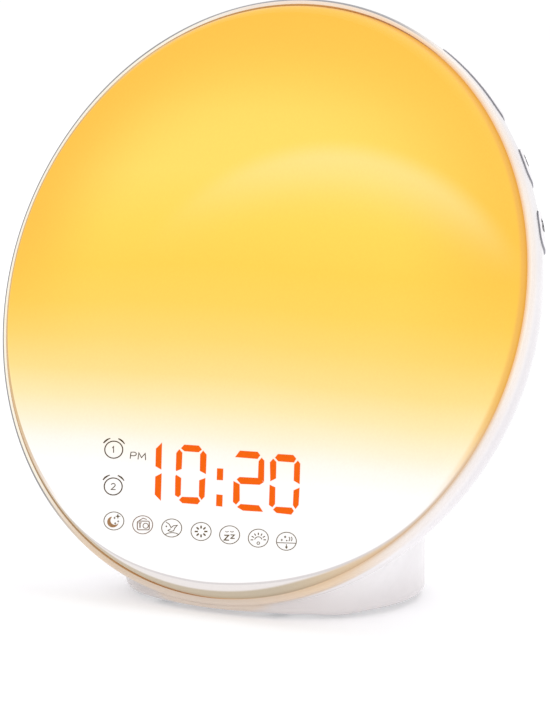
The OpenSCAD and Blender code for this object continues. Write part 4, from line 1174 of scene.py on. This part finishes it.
def strip(path, width, place, thick, closed=False):
    """Verts and faces of a solid ribbon along a path."""
    l, r = ribbon(path, width, closed)
    n = len(l)
    v = np.concatenate([place(l, thick[0]), place(r, thick[0]), place(r, thick[1]), place(l, thick[1])])
    f = []
    for k in range(n if closed else n - 1):
        q = (k + 1) % n
        for a in range(4):
            b = (a + 1) % 4
            f.append((a * n + k, a * n + q, b * n + q, b * n + k))
    if not closed:
        f.append((0, n, 2 * n, 3 * n))
        f.append((n - 1, 4 * n - 1, 3 * n - 1, 2 * n - 1))
    return v, f


def arc(cx, cy, rx, ry, a0, a1, n=24):
    a = np.radians(np.linspace(a0, a1, n))
    return np.stack([cx + rx * np.cos(a), cy - ry * np.sin(a)], -1)


def loop(cx, cy, rx, ry, n=64):
    a = 2 * math.pi * np.arange(n) / n
    return np.stack([cx + rx * np.cos(a), cy - ry * np.sin(a)], -1)


LIT = (0.03, 0.09)
DIGITS = [
    [(385, 88), (349, 124), (346, 230), (381, 250)],
    [(383, 272), (345, 292), (342, 400), (378, 437)],
    [(499, 122), (519, 100), (606, 106), (624, 130), (604, 146), (520, 140)],
    [(489, 128), (507, 148), (503, 246), (470, 259), (468, 250), (471, 150)],
    [(632, 136), (652, 160), (648, 277), (612, 258), (614, 158)],
    [(470, 281), (500, 300), (497, 402), (483, 416), (463, 404), (465, 290)],
    [(645, 300), (608, 314), (606, 408), (622, 432), (640, 412)],
    [(487, 432), (505, 413), (598, 416), (614, 438), (598, 458), (507, 451)],
    [(715, 242), (752, 244), (750, 314), (713, 312)],
    [(711, 398), (748, 402), (746, 472), (709, 468)],
    [(823, 175), (852, 136), (958, 143), (974, 164), (957, 186)],
    [(982, 178), (998, 196), (996, 323), (960, 300), (964, 200)],
    [(832, 308), (850, 294), (966, 300), (994, 325), (970, 341), (856, 336)],
    [(813, 318), (850, 338), (850, 436), (828, 460), (810, 444)],
    [(834, 474), (856, 456), (965, 464), (990, 503), (870, 496)],
    [(1062, 178), (1080, 156), (1172, 162), (1190, 184), (1176, 207), (1082, 200)],
    [(1052, 184), (1070, 204), (1068, 302), (1034, 320), (1032, 206)],
    [(1200, 196), (1214, 214), (1210, 337), (1175, 316), (1178, 218)],
    [(1030, 340), (1064, 356), (1062, 456), (1046, 476), (1026, 462)],
    [(1210, 358), (1174, 374), (1170, 464), (1186, 486), (1204, 462)],
    [(1050, 490), (1068, 472), (1162, 478), (1176, 498), (1160, 520), (1072, 510)],
]
ORANGE = ink("segment_lit", lin(150, 40, 6), 0.4, lin(246, 113, 14), 0.7, 0.03)
link(joined("lit_digits", [plate(subdivided(np.array(o, float), 12.0), on_dome, LIT) for o in DIGITS]), "lit_digits", ORANGE, ROOT)

BROWN = ink("mark_brown", lin(92, 75, 40))
UMBER = ink("mark_umber", lin(70, 51, 16))
LINE = 4.6
parts = []
for cx, cy, figure in ((95, 130, "1"), (92, 351, "2")):
    parts.append(strip(loop(cx, cy, 54, 51), LINE + 1.6, on_dome, LIT, True))
    for a0, a1, end in ((106, 146, 1), (28, 68, 0)):
        pth = arc(cx, cy, 74, 71, a0, a1, 14)
        w = np.interp(np.linspace(0, 1, 14), [0, 0.5, 1], [4, 9.5, 6.5])
        parts.append(strip(pth, w, on_dome, LIT))
    if figure == "1":
        parts.append(strip([(cx - 9, cy - 10), (cx - 1, cy - 19), (cx - 1, cy + 19)], LINE, on_dome, LIT))
    else:
        pth = np.concatenate([arc(cx, cy - 8, 12, 10, 165, -40, 14), [(cx - 12, cy + 18), (cx + 14, cy + 19)]])
        parts.append(strip(pth, LINE, on_dome, LIT))
# PM
parts.append(strip([(194, 184), (199, 144)], LINE, on_dome, LIT))
parts.append(strip(np.concatenate([[(199, 145)], arc(216, 156, 15, 11, 90, -90, 12), [(197, 166)]]), LINE, on_dome, LIT))
parts.append(strip([(241, 189), (246, 149), (262, 178), (284, 153), (287, 193)], LINE, on_dome, LIT))
link(joined("alarm_marks", parts), "alarm_marks", UMBER, ROOT)

RINGS = [(96, 558), (269, 581), (443, 600), (619, 621), (790, 641), (962, 661), (1131, 680)]
THIN = 4.2
parts = []
tint = []
radio = []
for k, (cx, cy) in enumerate(RINGS):
    target = radio if k == 1 else parts
    target.append(strip(loop(cx, cy, 60, 54), THIN, on_dome, LIT, True))


def star(cx, cy, r, thin=0.32, n=4):
    pts = []
    for i in range(2 * n):
        a = math.pi / 2 + math.pi * i / n
        q = r if i % 2 == 0 else r * thin
        pts.append((cx + q * math.cos(a), cy - q * math.sin(a)))
    return pts


# crescent moon with stars
cx, cy = RINGS[0]
moon = np.concatenate([arc(cx - 6, cy + 6, 34, 33, 105, 345, 26), arc(cx + 6, cy - 3, 27, 26, 318, 132, 22)])
tint.append(plate(moon, on_dome, LIT))
parts.append(plate(star(cx + 24, cy - 28, 17, 0.3), on_dome, LIT))
for dx, dy in ((4, -18), (26, 2), (8, 14)):
    parts.append(plate(star(cx + dx, cy + dy, 8, 0.4), on_dome, LIT))
# radio
cx, cy = RINGS[1]
body = round_rect(36, -26, 26, 9)
radio.append(strip(np.c_[cx + 4 + body[:, 0], cy + 4 - body[:, 1]], THIN + 0.6, on_dome, LIT, True))
radio.append(strip([(cx - 22, cy - 24), (cx + 2, cy - 40), (cx + 24, cy - 32)], THIN, on_dome, LIT))
radio.append(strip(loop(cx + 18, cy + 6, 16, 15, 32), THIN, on_dome, LIT, True))
radio.append(strip([(cx - 16, cy - 10), (cx - 16, cy + 18)], THIN + 2, on_dome, LIT))
radio.append(strip([(cx - 26, cy - 12), (cx - 6, cy - 12)], THIN, on_dome, LIT))
# bird on a branch
cx, cy = RINGS[2]
bird = [(cx - 34, cy - 36), (cx - 14, cy - 22), (cx - 4, cy - 2), (cx + 12, cy - 14), (cx + 34, cy - 16), (cx + 20, cy - 2), (cx + 12, cy + 16), (cx - 8, cy + 22), (cx - 22, cy + 14), (cx - 6, cy + 6)]
parts.append(strip(bird, THIN, on_dome, LIT))
parts.append(plate(star(cx - 32, cy - 10, 6, 0.6), on_dome, LIT))
parts.append(strip(arc(cx + 2, cy + 62, 54, 34, 140, 40, 14), THIN, on_dome, LIT))
# sun
cx, cy = RINGS[3]
for i in range(8):
    a = math.radians(22.5 * 2 * i)
    c, s_ = math.cos(a), math.sin(a)
    parts.append(strip([(cx + 19 * c, cy - 18 * s_), (cx + 38 * c, cy - 35 * s_)], 8.5, on_dome, LIT))
# sleep
cx, cy = RINGS[4]
parts.append(strip([(cx - 32, cy + 2), (cx - 6, cy + 3), (cx - 32, cy + 31), (cx - 4, cy + 32)], 6.5, on_dome, LIT))
parts.append(strip([(cx + 6, cy + 0), (cx + 28, cy + 1), (cx + 8, cy + 21), (cx + 30, cy + 22)], 5.5, on_dome, LIT))
for dx in (-16, 14):
    parts.append(strip(arc(cx + dx, cy - 24, 10, 7, 200, 340, 8), THIN - 0.4, on_dome, LIT))
# lamp with rays
cx, cy = RINGS[5]
parts.append(strip(arc(cx, cy + 12, 22, 20, 12, 168, 20), THIN, on_dome, LIT))
parts.append(strip(loop(cx, cy + 30, 8, 8, 20), THIN - 0.4, on_dome, LIT, True))
for i in range(7):
    a = math.radians(0 + 30 * i)
    c, s_ = math.cos(a), math.sin(a)
    parts.append(strip([(cx + 31 * c, cy + 10 - 29 * s_), (cx + 46 * c, cy + 10 - 43 * s_)], 5.5, on_dome, LIT))
# stars above a horizon
cx, cy = RINGS[6]
parts.append(strip([(cx - 57, cy + 8), (cx + 57, cy + 12)], THIN, on_dome, LIT))
for dx, dy, r in ((-28, -8, 8), (-8, -26, 9), (2, -4, 6)):
    parts.append(plate(star(cx + dx, cy + dy, r, 0.5), on_dome, LIT))
for dx in (14, 28):
    parts.append(strip(arc(cx + dx - 6, cy - 14, 12, 14, 60, -60, 10), THIN, on_dome, LIT))
parts.append(strip([(cx, cy + 18), (cx, cy + 38)], THIN, on_dome, LIT))
parts.append(plate([(cx - 9, cy + 32), (cx + 9, cy + 32), (cx, cy + 46)], on_dome, LIT))
link(joined("function_marks", parts), "function_marks", BROWN, ROOT)
AMBER = ink("mark_amber", lin(162, 122, 84))
link(joined("moon_mark", tint), "moon_mark", AMBER, ROOT)
link(joined("radio_mark", radio), "radio_mark", ink("mark_tan", lin(116, 86, 58)), ROOT)


# ---------------------------------------------------------------- marks on the short keys
GREY = ink("key_print", lin(72, 72, 76))
for s, word in ((1, "right"), (-1, "left")):
    for i, kind, figure, shift in ((1, "upper", "1", 0.7), (2, "lower", "2", 0.4)):
        place = side(s)

        def on_key(q, lift, t0=KEY_T[i] + shift, place=place):
            """Key print: x along the side (towards the top), y towards the front of the clock, mm."""
            q = np.asarray(q, float)
            t = t0 + q[..., 0] * 1.15
            z = -8.4 + q[..., 1] * 1.15
            r = np.sqrt(bowl_radius(z, 0.8) ** 2 - t**2) + lift
            return place(np.stack([r, t, z], -1))

        thick = (0.02, 0.06)
        kp = []
        kp.append(strip(loop(0, 0, 1.15, 1.15, 40), 0.3, on_key, thick, True))
        for a0, a1 in ((108, 146), (34, 72)):
            pth = arc(0, 0, 1.62, 1.62, a0, a1, 8) * np.array([1, -1])
            kp.append(strip(pth, 0.36, on_key, thick))
        if figure == "1":
            kp.append(strip(np.array([(-0.25, 0.25), (0.0, 0.5), (0.0, -0.55)]), 0.26, on_key, thick))
        else:
            pth = np.array([(-0.35, 0.3), (0.0, 0.55), (0.35, 0.28), (-0.35, -0.5), (0.4, -0.5)])
            kp.append(strip(pth, 0.24, on_key, thick))
        link(joined(f"{word}_{kind}_print", kp), f"{word}_{kind}_print", GREY, f"{word}_{kind}")


# ---------------------------------------------------------------- stage
def floor():
    me = raw_mesh("floor", [(-3, -3, 0), (3, -3, 0), (3, 3, 0), (-3, 3, 0)], [(0, 1, 2, 3)])
    t = Tree("floor")
    n = t.noise(3.0, 2.0, 0.5)
    pale = t.mix(t.step(n, 0.3, 0.7), lin(249, 249, 251), lin(252, 252, 252))
    far = t.step(t.vec("LENGTH", t.pos), 0.3, 1.0)
    glow = t.mix(far, lin(140, 140, 141), lin(168, 168, 168))
    t.principled(t.mix(0.15, pale, (0.0, 0.0, 0.0, 1.0)), t.step(n, 0.3, 0.7, 0.75, 0.8), 0.0, None, 0.0, emit=glow, emit_strength=1.0)
    o = link(me, "floor", t.mat, None)
    return o


floor()
w = bpy.data.worlds.new("studio")
bpy.context.scene.world = w
w.use_nodes = True
wt = w.node_tree
bg = wt.nodes["Background"]
bg.inputs[0].default_value = (1.0, 0.995, 1.0, 1.0)
path = wt.nodes.new("ShaderNodeLightPath")
level = wt.nodes.new("ShaderNodeMapRange")
wt.links.new(path.outputs["Is Camera Ray"], level.inputs[0])
level.inputs[3].default_value = 0.88
level.inputs[4].default_value = 1.02
wt.links.new(level.outputs[0], bg.inputs[1])


def area(name, place, aim, size, power, color=(1, 1, 1)):
    d = bpy.data.lights.new(name, "AREA")
    d.shape = "DISK"
    d.size = size
    d.energy = power
    d.color = color
    o = bpy.data.objects.new(name, d)
    bpy.context.scene.collection.objects.link(o)
    o.location = place
    o.rotation_mode = "QUATERNION"
    o.rotation_quaternion = (Vector(aim) - Vector(place)).to_track_quat("-Z", "Y")
    return o


area("key_light", (0.35, -0.95, 0.5), (0.0, 0.0, 0.06), 0.7, 1.1)
area("top_light", (0.1, 0.5, 1.3), (0.0, 0.0, 0.0), 1.1, 3.0)
